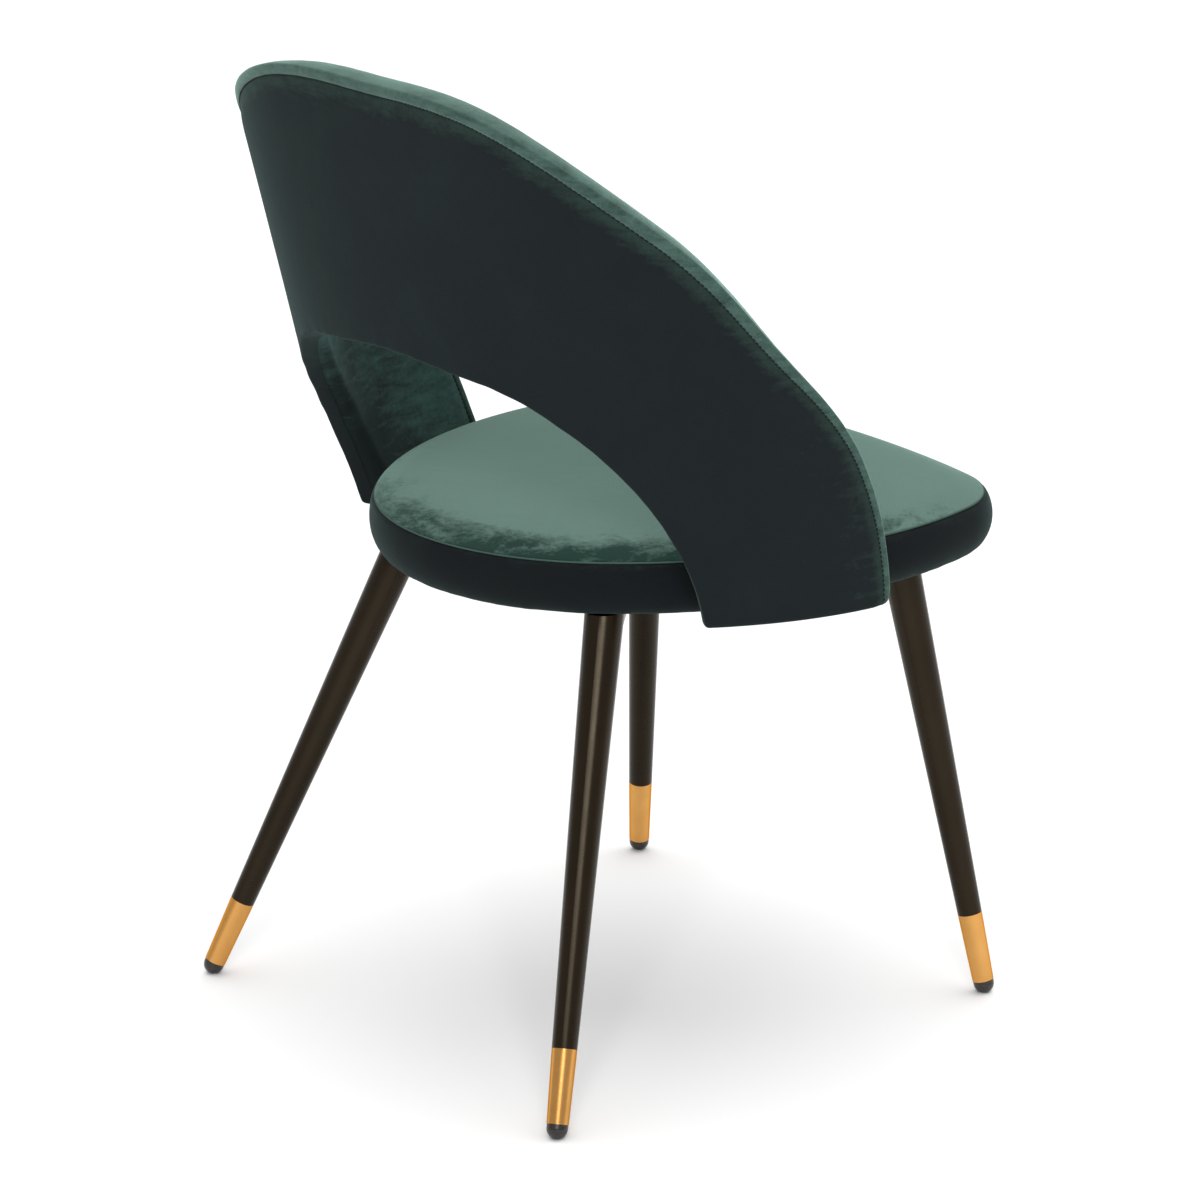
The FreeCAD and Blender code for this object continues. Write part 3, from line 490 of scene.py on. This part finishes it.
def seat_arcs():
    """Centre, radius, start and end of the six arcs of the seat's outline."""
    diagonal = Vector((-math.cos(SEAT_SHOULDER), -math.sin(SEAT_SHOULDER), 0))
    flank = diagonal * (SEAT_FLANK_RADIUS - SEAT_REAR_RADIUS)
    flank.y += SEAT_REAR_CENTRE
    corner = flank + Vector((math.cos(SEAT_FLANK_END), -math.sin(SEAT_FLANK_END), 0)) * (
        SEAT_FLANK_RADIUS - SEAT_CORNER_RADIUS
    )
    front_radius = SEAT_CORNER_RADIUS + corner.x / math.cos(SEAT_CORNER_END)
    front = Vector((0, corner.y + corner.x * math.tan(SEAT_CORNER_END), 0))
    half, full = math.pi, 2 * math.pi
    right_flank = Vector((-flank.x, flank.y, 0))
    right_corner = Vector((-corner.x, corner.y, 0))
    return [
        (Vector((0, SEAT_REAR_CENTRE, 0)), SEAT_REAR_RADIUS, SEAT_SHOULDER, half - SEAT_SHOULDER),
        (right_flank, SEAT_FLANK_RADIUS, half - SEAT_SHOULDER, half + SEAT_FLANK_END),
        (right_corner, SEAT_CORNER_RADIUS, half + SEAT_FLANK_END, half + SEAT_CORNER_END),
        (front, front_radius, half + SEAT_CORNER_END, full - SEAT_CORNER_END),
        (corner, SEAT_CORNER_RADIUS, full - SEAT_CORNER_END, full - SEAT_FLANK_END),
        (flank, SEAT_FLANK_RADIUS, full - SEAT_FLANK_END, full + SEAT_SHOULDER),
    ]


def seat_outline(count):
    """Points and outward normals evenly along the outline."""
    arcs = seat_arcs()
    lengths = [radius * (end - start) for _, radius, start, end in arcs]
    step = sum(lengths) / count
    found, arc, before = [], 0, 0.0
    for i in range(count):
        at = i * step
        while at - before > lengths[arc]:
            before += lengths[arc]
            arc += 1
        centre, radius, start, _ = arcs[arc]
        turn = start + (at - before) / radius
        normal = Vector((math.cos(turn), math.sin(turn), 0))
        found.append((centre + normal * radius, normal))
    return found


def crown_height(share):
    """Height of the top panel above the seam, from the middle (0) to the seam (1): flat with soft edges."""
    edge = min(1, max(0, (share - (1 - CROWN_EDGE)) / CROWN_EDGE))
    dome = CROWN_DOME * (1 - share**2)
    return SEAT_CROWN * (dome + (1 - CROWN_DOME) * (1 - edge**2.3) ** 0.62)


def bulge_at(point):
    """How far the side band stands out: more at the front corners than at the rear."""
    forward = min(1, max(0, -point.y / BULGE_REACH))
    return (REAR_BULGE + EXTRA_FRONT_BULGE * forward) * MM


def painted_shade_share(normal):
    """How strong the painted shade beside the seam is: near 1 at the rear right, as in the photo, 0.2 at the
    front.
    """
    return FRONT_PAINTED_SHADE + (1 - FRONT_PAINTED_SHADE) * max(0, normal.dot(PAINTED_SHADE_SIDE))


def top_shares():
    """Shares of the way from the middle of the top to the seam, closer together towards the seam."""
    even = [i / TOP_ROWS for i in range(1, 21)]
    fine = [0.9 + 0.1 * (1 - (1 - i / EDGE_ROWS) ** 1.6) for i in range(1, EDGE_ROWS)]
    return [0.02] + even + [0.86, 0.88] + fine


def seat_rings(outline):
    """The rings of the cushion from the middle of its top, over the seam and down under the board."""
    rings, painted_light_values = [], []
    for share in top_shares():
        ring = []
        for point, _ in outline:
            spot = SEAT_MIDDLE + (point - SEAT_MIDDLE) * share
            lift = wander(spot, 6, 3.1).z * 0.8 * MM * (1 - share**8)
            ring.append(Vector((spot.x, spot.y, SEAM_HEIGHT + crown_height(share) + lift)))
        rings.append(ring)
        # Painted shade along the top's border beside the seam, strongest at the rear right.
        painted_shade_border = math.exp(-(((1 - share) / PAINTED_SHADE_BORDER) ** 2))
        painted_light_values.append([painted_shade_border * painted_shade_share(n) for _, n in outline])
    top_rings = len(rings)
    for out, down in SEAM_ROWS:
        rings.append([p + n * out * MM + Vector((0, 0, SEAM_HEIGHT - down * MM)) for p, n in outline])
        # Painted light at the seam: painted shade on the top's last strip and painted sheen on the band's top
        # edge, fading down the band.
        painted_light_values.append([SEAM_PAINTED_LIGHT] * len(outline))
    for i in range(1, BAND_ROWS + 1):
        t = i / BAND_ROWS
        ring = []
        for p, n in outline:
            out = bulge_at(p) * math.sin(math.pi / 2 * t) ** 0.6
            ring.append(p + n * out + Vector((0, 0, SEAM_HEIGHT - WIDEST * max(t, 0.05))))
        rings.append(ring)
        painted_light_values.append([max(0, SEAM_PAINTED_LIGHT - t)] * len(outline))
    low = SEAM_HEIGHT - WIDEST - SEAT_BOTTOM
    for i in range(1, ROUNDING_ROWS + 1):
        turn = math.pi / 2 * i / ROUNDING_ROWS
        ring = []
        for p, n in outline:
            spot = p + Vector((0, 0, SEAM_HEIGHT - WIDEST - low * math.sin(turn)))
            out = -SEAT_BOTTOM_ROUNDING + (SEAT_BOTTOM_ROUNDING + bulge_at(p)) * math.cos(turn)
            gather = wander(p, 38, 7.7).x + 0.6 * wander(p, 90, 8.8).y
            ring.append(spot + n * (out + gather * 1.3 * MM * math.sin(turn) ** 3))
        rings.append(ring)
        painted_light_values.append([0.0] * len(outline))
    outer, inner = HEM_ROWS[0][0], HEM_ROWS[-1][0]
    for inset, level in HEM_ROWS:
        ring = []
        for p, n in outline:
            spot = p - n * inset * MM
            fold = wander(p, 45, 9.1).z * HEM_RISE * (inner - inset) / (inner - outer)
            ring.append(Vector((spot.x, spot.y, SEAT_BOTTOM + level * MM + min(0, fold))))
        rings.append(ring)
        painted_light_values.append([0.0] * len(outline))
    return rings, painted_light_values, top_rings


def make_seat(top_material, band_material, thread):
    """The seat cushion: crowned top, bulged side band and the hem under the board, with the seam between."""
    outline = seat_outline(SEAT_POINTS)
    rings, painted_light_values, top_rings = seat_rings(outline)
    vertices = [v for ring in rings for v in ring]
    faces = ring_faces(len(rings), SEAT_POINTS)
    vertices.append(Vector((SEAT_MIDDLE.x, SEAT_MIDDLE.y, SEAM_HEIGHT + crown_height(0))))
    vertices.append(Vector((SEAT_MIDDLE.x, SEAT_MIDDLE.y, SEAT_BOTTOM + HEM_RISE)))
    middle_top, middle_bottom = len(vertices) - 2, len(vertices) - 1
    last = (len(rings) - 1) * SEAT_POINTS
    for i in range(SEAT_POINTS):
        j = (i + 1) % SEAT_POINTS
        faces.append((middle_top, j, i))
        faces.append((middle_bottom, last + i, last + j))
    seat = mesh_object("seat_cushion", vertices, faces, [top_material, band_material])
    for polygon in seat.data.polygons:
        on_top = max(polygon.vertices) < (top_rings + 1) * SEAT_POINTS or middle_top in polygon.vertices
        polygon.material_index = 0 if on_top else 1
    outward(seat)
    set_painted_light(seat, [painted_light for ring in painted_light_values for painted_light in ring] + [0, 0])
    seam = range(top_rings * SEAT_POINTS, (top_rings + len(SEAM_ROWS)) * SEAT_POINTS)
    underside = range((len(rings) - UNDERSIDE_ROWS) * SEAT_POINTS, len(vertices))
    inflate(seat, [*seam, *underside], cap=4 * MM)
    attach(seat, "root")
    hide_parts("seat_foam", "seat_top_panel", "seat_side_band")

    welt_path = [p - n * 0.5 * MM + Vector((0, 0, SEAM_HEIGHT - 0.1 * MM)) for p, n in outline]
    welt = closed_tube("seat_seam_welt", welt_path, WELT_RADIUS, thread)
    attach(welt, "root")


def make_dust_cover(material):
    """The thin black cloth stretched under the board and tucked into the hem."""
    outline = seat_outline(COVER_POINTS)
    vertices = []
    inset = HEM_WIDTH - COVER_TUCK
    for share in COVER_SHARES:
        for p, n in outline:
            spot = SEAT_MIDDLE + (p - n * inset - SEAT_MIDDLE) * share
            wave = wander(spot, 30, 4.4).z * 0.25 * MM
            height = SEAT_BOTTOM + 0.1 * MM - 0.3 * MM * (1 - share**6) + wave
            vertices.append(Vector((spot.x, spot.y, height)))
    faces = ring_faces(len(COVER_SHARES), COVER_POINTS)
    vertices.append(Vector((SEAT_MIDDLE.x, SEAT_MIDDLE.y, SEAT_BOTTOM - 0.2 * MM)))
    last = (len(COVER_SHARES) - 1) * COVER_POINTS
    for i in range(COVER_POINTS):
        faces.append((last + i, last + (i + 1) % COVER_POINTS, len(vertices) - 1))
    cover = mesh_object("dust_cover", vertices, faces, [material])
    solid = cover.modifiers.new("thickness", "SOLIDIFY")
    solid.thickness = COVER_THICKNESS
    solid.offset = 0
    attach(cover, "root")
    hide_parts("seat_dust_cover")


# ---------------------------------------------------------------- back

BACK_AXIS = -70 * MM
BASE_RADIUS = 288.7 * MM
BASE_HEIGHT = 402 * MM
TOP_HEIGHT = 835 * MM
TOP_HALF_WIDTH = 351.4 * MM
TOP_HALF_DEPTH = 325.2 * MM
TOP_SQUARENESS = 3.34
ARC_RADIUS = 297 * MM
WING_BOTTOM = 407 * MM
THICKNESS = 28 * MM
PADDING_START = 16.5 * MM
SIDE_SWELL = 9 * MM
SIDE_SWELL_HEIGHT = 80 * MM
KNOT_STEP = math.radians(18)
JUST_BEFORE_LAST_KNOT = 4.999999
SEAM_REACH = [431.2, 440.7, 422.7, 406.5, 430, 452.7]
OPENING_REACH = [211.8, 217.2, 238.5, 253.9, 268, 284.6]
BACK_STATIONS = 260
RIM_STRIP = 7 * MM
RIM_FOLD = 3 * MM
RIM_CROWN = 0.9 * MM
OUTER_CORNER = 3 * MM
INNER_CORNER = 13 * MM
SEAM_DEPTH = 2.8 * MM
WING_CORNER = 15 * MM
WING_END_ROUNDING = 4 * MM
WING_END_TURNS = (0.35, 0.7, 1.05, 1.35, 1.5)
WING_START = math.radians(35)
WING_SPREAD = math.radians(40)
OPENING_SHIFT = -0.5 * MM
OPENING_SWELL = 0.9 * MM
OPENING_ROWS = 6
FACE_ROWS = 16
FACE_SHARES_BY_SEAM = [0.92, 0.938, 0.953, 0.966, 0.977, 0.986, 0.993]
FACE_LIFT = 0.8 * MM
SEAM_DIP_WIDTH = 0.042
RIM_ROWS = ((0.12, 1.7), (0.3, 0.9), (0.6, 0.5), (0.85, 0.5))
RIM_DEPTH = 0.5 * MM
RIM_FOLD_ROWS = 4
WING_RIM_LOSS = 0.35
SEAM_BORDER = 0.075
STITCH_PITCH = 4.6 * MM
STITCH_GAP = 1.0 * MM
STITCH_RADIUS = 0.75 * MM
STITCH_SIDES = 6
STITCH_ROWS = ((0, 0.35, 0), (0.15, 0.9, 0.4), (0.5, 1, 0.6), (0.85, 0.9, 0.4), (1, 0.35, 0))


def reach(values, turn):
    """Reach of an outline of the back at an angle from its top, as the CAD part has it."""
    inner_slopes = [(values[i + 1] - values[i - 1]) / 2 for i in range(1, 5)]
    slopes = [0] + inner_slopes + [values[5] - values[4]]
    position = min(abs(turn) / KNOT_STEP, JUST_BEFORE_LAST_KNOT)
    i = int(position)
    u = position - i
    start = (2 * u**3 - 3 * u**2 + 1) * values[i] + (u**3 - 2 * u**2 + u) * slopes[i]
    end = (3 * u**2 - 2 * u**3) * values[i + 1] + (u**3 - u**2) * slopes[i + 1]
    return (start + end) * MM


def shell_point(sideways, height, depth):
    """A point depth inside the back's outer face, sideways along the ring and height above the floor."""
    around = sideways / ARC_RADIUS
    across = abs(math.sin(around)) / TOP_HALF_WIDTH
    behind = abs(math.cos(around)) / TOP_HALF_DEPTH
    top = (across**TOP_SQUARENESS + behind**TOP_SQUARENESS) ** (-1 / TOP_SQUARENESS)
    climb = (height - BASE_HEIGHT) / (TOP_HEIGHT - BASE_HEIGHT)
    share = max(0, (depth - PADDING_START) / (THICKNESS - PADDING_START))
    fade = min(1, max(0, 1 - (height - WING_BOTTOM) / SIDE_SWELL_HEIGHT))
    radius = BASE_RADIUS + (top - BASE_RADIUS) * climb - depth - SIDE_SWELL * share * fade**2
    return Vector((radius * math.sin(around), BACK_AXIS + radius * math.cos(around), height))


def round_wing(sideways, height):
    """Rounds the lower front corner of each wing, in the plane of the unrolled shell."""
    front = (SEAM_REACH[5] * MM + RIM_STRIP + RIM_FOLD) - abs(sideways)
    above = height - (WING_BOTTOM - WING_END_ROUNDING)
    x, z = WING_CORNER - front, WING_CORNER - above
    if x > 0 and z > 0:
        scale = max(x, z) / math.hypot(x, z)
        front, above = WING_CORNER - x * scale, WING_CORNER - z * scale
    side = math.copysign(SEAM_REACH[5] * MM + RIM_STRIP + RIM_FOLD - front, sideways)
    return side, WING_BOTTOM - WING_END_ROUNDING + above


def arch_point(turn, across, depth, sink):
    """A point of the arch band: across from the opening's edge, at a depth, and lowered by sink."""
    length = reach(OPENING_REACH, turn) + across
    height = WING_BOTTOM + length * max(0.0, math.cos(turn)) - sink
    sideways, height = round_wing(length * math.sin(turn), height)
    return shell_point(sideways, height, depth)


def half_profile(corner):
    """One face of the back in section, from the middle of the opening edge over the face to the rim's middle.

    Each point is its share across, its shift, its depth under the face and what it belongs to.
    """
    half = THICKNESS / 2
    middle = OPENING_SHIFT - OPENING_SWELL
    points = [(0.0, middle, half, "edge")]
    for t in (0.35, 0.7, 1.0):
        shift = OPENING_SHIFT - OPENING_SWELL * (1 - t**2)
        points.append((0.0, shift, half - (half - corner) * t, "edge"))
    for i in range(1, OPENING_ROWS + 1):
        turn = math.pi / 2 * i / OPENING_ROWS
        shift = OPENING_SHIFT + corner * (1 - math.cos(turn))
        points.append((0.0, shift, corner * (1 - math.sin(turn)), "edge"))
    shares = [0.07 + 0.83 * i / FACE_ROWS for i in range(FACE_ROWS + 1)]
    for share in shares + FACE_SHARES_BY_SEAM:
        dip = (SEAM_DEPTH - FACE_LIFT) * math.exp(-(((1 - share) / SEAM_DIP_WIDTH) ** 2))
        points.append((share, (OPENING_SHIFT + corner) * (1 - share), dip, "face"))
    points.append((1.0, 0.0, SEAM_DEPTH, "seam"))
    for share, depth in RIM_ROWS:
        points.append((1.0, RIM_STRIP * share, depth * MM, "rim"))
    for i in range(RIM_FOLD_ROWS + 1):
        turn = math.pi / 2 * i / RIM_FOLD_ROWS
        shift = RIM_STRIP + RIM_FOLD * math.sin(turn)
        points.append((1.0, shift, RIM_DEPTH + RIM_FOLD * (1 - math.cos(turn)), "rim"))
    start = RIM_DEPTH + RIM_FOLD
    for t in (0.3, 0.6, 1.0):
        crown = RIM_CROWN * (1 - (1 - t) ** 2)
        points.append((1.0, RIM_STRIP + RIM_FOLD + crown, start + (half - start) * t, "rim"))
    return points


def back_profile():
    """The closed section of the back: the outer face from opening to rim, then the inner face back."""
    profile = half_profile(OUTER_CORNER)
    for share, shift, depth, kind in half_profile(INNER_CORNER)[-2:0:-1]:
        profile.append((share, shift, THICKNESS - depth, kind + "_inside"))
    return profile


def wing_share(turn):
    """0 over the back of the sitter, rising to 1 on the wings beside the seat."""
    return min(1, max(0, (abs(turn) - WING_START) / WING_SPREAD))


def painted_light_at(turn, share, kind):
    """How much painted sheen each point of the back gets: beside the seam, over the rim, along the front of
    the wings and over the inside.
    """
    beside_seam = math.exp(-(((1 - share) / SEAM_BORDER) ** 2))
    if kind.endswith("inside"):
        across_wing = 0.2 + 0.85 * min(1, share / 0.7)
        return 0.95 + (across_wing - 0.95) * wing_share(turn)
    if kind.startswith("face"):
        return max(beside_seam, 0.55 * wing_share(turn) * share**2.2)
    return 0.9 if kind.startswith(("rim", "seam")) else 0.0


def back_stations():
    """Angle, inset and sink of each section, with the rounded bottoms of the wings at both ends."""
    quarter = math.pi / 2
    rounded = [
        (WING_END_ROUNDING * (1 - math.cos(turn)), WING_END_ROUNDING * math.sin(turn))
        for turn in WING_END_TURNS
    ]
    first = [(-quarter, inset, sink) for inset, sink in reversed(rounded)]
    middle = [(-quarter + math.pi * i / BACK_STATIONS, 0.0, 0.0) for i in range(BACK_STATIONS + 1)]
    last = [(quarter, inset, sink) for inset, sink in rounded]
    return first + middle + last


def make_back(face_material, rim_material, inside_material, thread):
    """The padded back: one closed cover with a seam inside its rim and a rolled edge round the opening."""
    profile = back_profile()
    count = len(profile)
    stations = back_stations()
    half = THICKNESS / 2
    vertices, painted_light_values = [], []
    for turn, inset, sink in stations:
        middle = (reach(SEAM_REACH, turn) - reach(OPENING_REACH, turn)) / 2
        for share, shift, depth, kind in profile:
            if share == 1.0:
                shift *= 1 - WING_RIM_LOSS * wing_share(turn)
            across = share * 2 * middle + shift
            across = middle + (across - middle) * (1 - inset / middle)
            inner_depth = half + (depth - half) * (1 - inset / half)
            vertices.append(arch_point(turn, across, inner_depth, sink))
            # Painted sheen on the back, from the position in its section.
            painted_light_values.append(painted_light_at(turn, share, kind))
    faces = ring_faces(len(stations), count)
    for base, flip in ((0, False), ((len(stations) - 1) * count, True)):
        for k in range(count // 2):
            corners = (k, k + 1, (count - k - 1) % count, (count - k) % count)
            face = tuple(dict.fromkeys(base + corner for corner in corners))
            if len(face) > 2:
                faces.append(face[::-1] if flip else face)
    back = mesh_object("back_cover", vertices, faces, [face_material, rim_material, inside_material])
    kinds = [kind for _, _, _, kind in profile]
    for polygon in back.data.polygons:
        kind = kinds[min(polygon.vertices) % count]
        rim = kind.startswith(("rim", "seam"))
        polygon.material_index = 1 if rim else 2 if kind.endswith("inside") else 0
    outward(back)
    set_painted_light(back, painted_light_values)
    end = (len(WING_END_TURNS) + 1) * count
    held = []
    for i in range(len(vertices)):
        at_wing_end = i < end or i >= len(vertices) - end
        if at_wing_end or kinds[i % count].startswith(("seam", "edge")):
            held.append(i)
    inflate(back, held, cap=2.5 * MM)
    wrinkle(back, profile)
    seams = {}
    rows = range(4, len(stations) - 4)
    for side, label in (("seam", "outer"), ("seam_inside", "inner")):
        index = kinds.index(side)
        seams[label] = [back.data.vertices[row * count + index].co.copy() for row in rows]
    smooth_more(back)
    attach(back, "root")
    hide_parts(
        "back_outer_panel",
        "back_inner_panel",
        "back_rim_band",
        "back_opening_band",
        "back_outer_wadding",
        "back_inner_foam",
        "back_rim_foam",
        "left_wing_base_cover",
        "right_wing_base_cover",
    )
    for label, path in seams.items():
        stitches = make_stitches(f"back_{label}_stitches", path, label == "outer", thread)
        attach(stitches, "root")


def wrinkle(piece, profile):
    """Small unevenness of stretched velvet: gathers by the seam and the opening, faint waves elsewhere."""
    for i, vertex in enumerate(piece.data.vertices):
        share = profile[i % len(profile)][0]
        near_seam = math.exp(-(((share - 1) / 0.06) ** 2))
        near_opening = math.exp(-((share / 0.07) ** 2))
        amount = 0.22 * near_seam + 0.55 * near_opening
        gather = wander(vertex.co, 62, 2.4) * amount * MM
        wave = wander(vertex.co, 8, 1.3) * 0.35 * MM
        vertex.co = vertex.co + gather + wave


def make_stitches(name, path, outside, material):
    """Short stitches end to end along a seam, lying just above the bottom of its groove."""
    lengths = [0.0]
    for a, b in zip(path, path[1:]):
        lengths.append(lengths[-1] + (b - a).length)

    def at(distance):
        distance = min(max(distance, 0), lengths[-1] - 1e-6)
        i = int(np.searchsorted(lengths, distance, side="right")) - 1
        share = (distance - lengths[i]) / (lengths[i + 1] - lengths[i])
        return path[i].lerp(path[i + 1], share)

    vertices, faces = [], []
    sides = STITCH_SIDES
    facing = 1 if outside else -1
    for n in range(int(lengths[-1] / STITCH_PITCH)):
        start = n * STITCH_PITCH + STITCH_GAP / 2
        spots = [at(start + (STITCH_PITCH - STITCH_GAP) * t) for t, _, _ in STITCH_ROWS]
        along = (spots[-1] - spots[0]).normalized()
        first = len(vertices)
        for spot, (_, swell, lift) in zip(spots, STITCH_ROWS):
            out = Vector((spot.x, spot.y - BACK_AXIS, 0)).normalized() * facing
            side = along.cross(out).normalized()
            centre = spot + out * lift * MM
            for k in range(sides):
                turn = 2 * math.pi * k / sides
                spoke = out * math.cos(turn) + side * math.sin(turn)
                vertices.append(centre + spoke * STITCH_RADIUS * swell)
        last = first + (len(STITCH_ROWS) - 1) * sides
        for a in range(first, last, sides):
            b = a + sides
            for k in range(sides):
                after = (k + 1) % sides
                faces.append((a + k, a + after, b + after, b + k))
        faces.append(tuple(range(first, first + sides))[::-1])
        faces.append(tuple(range(last, last + sides)))
    return mesh_object(name, vertices, faces, [material])


# ---------------------------------------------------------------- floor and light

FLOOR_HALF = 30
WORLD_STRENGTH = 0.55
SUN_STRENGTH = 2.5
SUN_ANGLE = math.radians(75)
SOFTBOX_WATTS = 130
SOFTBOX_SIZE = (2.0, 1.6)


def make_stage():
    """A plain pale floor, a pale world, a very soft sun above and a softbox up behind the chair's right."""
    mesh = bpy.data.meshes.new("floor")
    corners = [(x * FLOOR_HALF, y * FLOOR_HALF, 0) for x, y in ((-1, -1), (1, -1), (1, 1), (-1, 1))]
    mesh.from_pydata(corners, [], [(0, 1, 2, 3)])
    floor = bpy.data.objects.new("floor", mesh)
    bpy.context.scene.collection.objects.link(floor)
    m = Nodes("floor_paint")
    m.set(Base_Color=(0.86, 0.86, 0.86, 1), Roughness=0.9, Specular_IOR_Level=0.1)
    mesh.materials.append(m.material)

    world = bpy.data.worlds.new("studio")
    world.use_nodes = True
    background = world.node_tree.nodes["Background"]
    background.inputs["Color"].default_value = (1, 1, 1, 1)
    background.inputs["Strength"].default_value = WORLD_STRENGTH
    bpy.context.scene.world = world

    sun = bpy.data.lights.new("overhead", "SUN")
    sun.energy = SUN_STRENGTH
    sun.angle = SUN_ANGLE
    aim_light("overhead", sun, (0.4, -0.9, 3.0), (0, 0, 0))
    box = bpy.data.lights.new("softbox", "AREA")
    box.shape = "RECTANGLE"
    box.size, box.size_y = SOFTBOX_SIZE
    box.energy = SOFTBOX_WATTS
    aim_light("softbox", box, (-3.5, 2.8, 3.1), (0, 0, 0.4))
    bpy.context.scene.view_settings.view_transform = "Standard"


def aim_light(name, data, location, aim):
    """Puts a light at a location, pointing at aim."""
    light = bpy.data.objects.new(name, data)
    bpy.context.scene.collection.objects.link(light)
    light.location = location
    light.rotation_mode = "QUATERNION"
    light.rotation_quaternion = (Vector(location) - Vector(aim)).to_track_quat("Z", "Y")


# ---------------------------------------------------------------- build

make_camera()
make_stage()

PALE_SHEEN = (0.62, 0.95, 0.82)
BLUE_SHEEN = (0.45, 0.8, 0.75)
back_velvet = velvet(
    "back_velvet",
    deep=(0.0070, 0.0100, 0.0115),
    painted_light_colour=(0.016, 0.031, 0.026),
    sheen=0.10,
    sheen_tint=BLUE_SHEEN,
)
# A lit copy of the back's velvet for the rim: painted paler for the light from above, with painted sheen over
# the whole rim.
lit_rim_velvet = velvet(
    "lit_rim_velvet",
    deep=(0.012, 0.026, 0.022),
    painted_light_colour=(0.050, 0.095, 0.080),
    sheen=0.5,
    sheen_tint=PALE_SHEEN,
)
# Inside: the painted light colour is a painted sheen, much paler than the back's, standing in for the low
# shader sheen.
inside_velvet = velvet(
    "inside_velvet",
    deep=(0.007, 0.0105, 0.0115),
    painted_light_colour=(0.062, 0.140, 0.122),
    sheen=0.10,
    sheen_tint=BLUE_SHEEN,
    painted_light_gain=0.6,
)
# On the seat's top it is the other way round: this lit copy of the velvet is painted pale for the light
# falling on the top, and the painted light attribute turns its border dark as painted shade.
lit_top_velvet = velvet(
    "lit_top_velvet",
    deep=(0.083, 0.142, 0.120),
    painted_light_colour=(0.006, 0.024, 0.018),
    sheen=0.25,
    sheen_tint=PALE_SHEEN,
    painted_light_gain=1.9,
    clouds=0.06,
)
# A shaded copy of the velvet for the seat's side band and the CAD velvet parts: painted darker for the shade
# on its sides.
shaded_band_velvet = velvet(
    "shaded_band_velvet",
    deep=(0.0045, 0.0058, 0.0072),
    painted_light_colour=(0.009, 0.018, 0.016),
    sheen=0.10,
    sheen_tint=BLUE_SHEEN,
)
dark_thread = seam_thread("dark_thread", (0.002, 0.003, 0.003), (0.010, 0.014, 0.013))
welt_thread = seam_thread("welt_thread", (0.02, 0.04, 0.035), (0.06, 0.11, 0.09))
lining = lining_cloth()

make_seat(lit_top_velvet, shaded_band_velvet, welt_thread)
make_dust_cover(lining)
make_back(back_velvet, lit_rim_velvet, inside_velvet, dark_thread)

CAD_MATERIALS = {
    "plywood": plywood(),
    "lining": lining,
    "leg_paint": leg_paint(),
    "tip_metal": tip_metal(),
    "glide_plastic": glide_plastic(),
    "zinc_steel": zinc_steel(),
    "velvet": shaded_band_velvet,
    "foam": lining,
}
slot_of = {part["node"]: part["material_slot"] for part in frame["record"]["subparts"]}
for name, node in frame["nodes"].items():
    node.data.materials.clear()
    node.data.materials.append(CAD_MATERIALS[slot_of[name]])
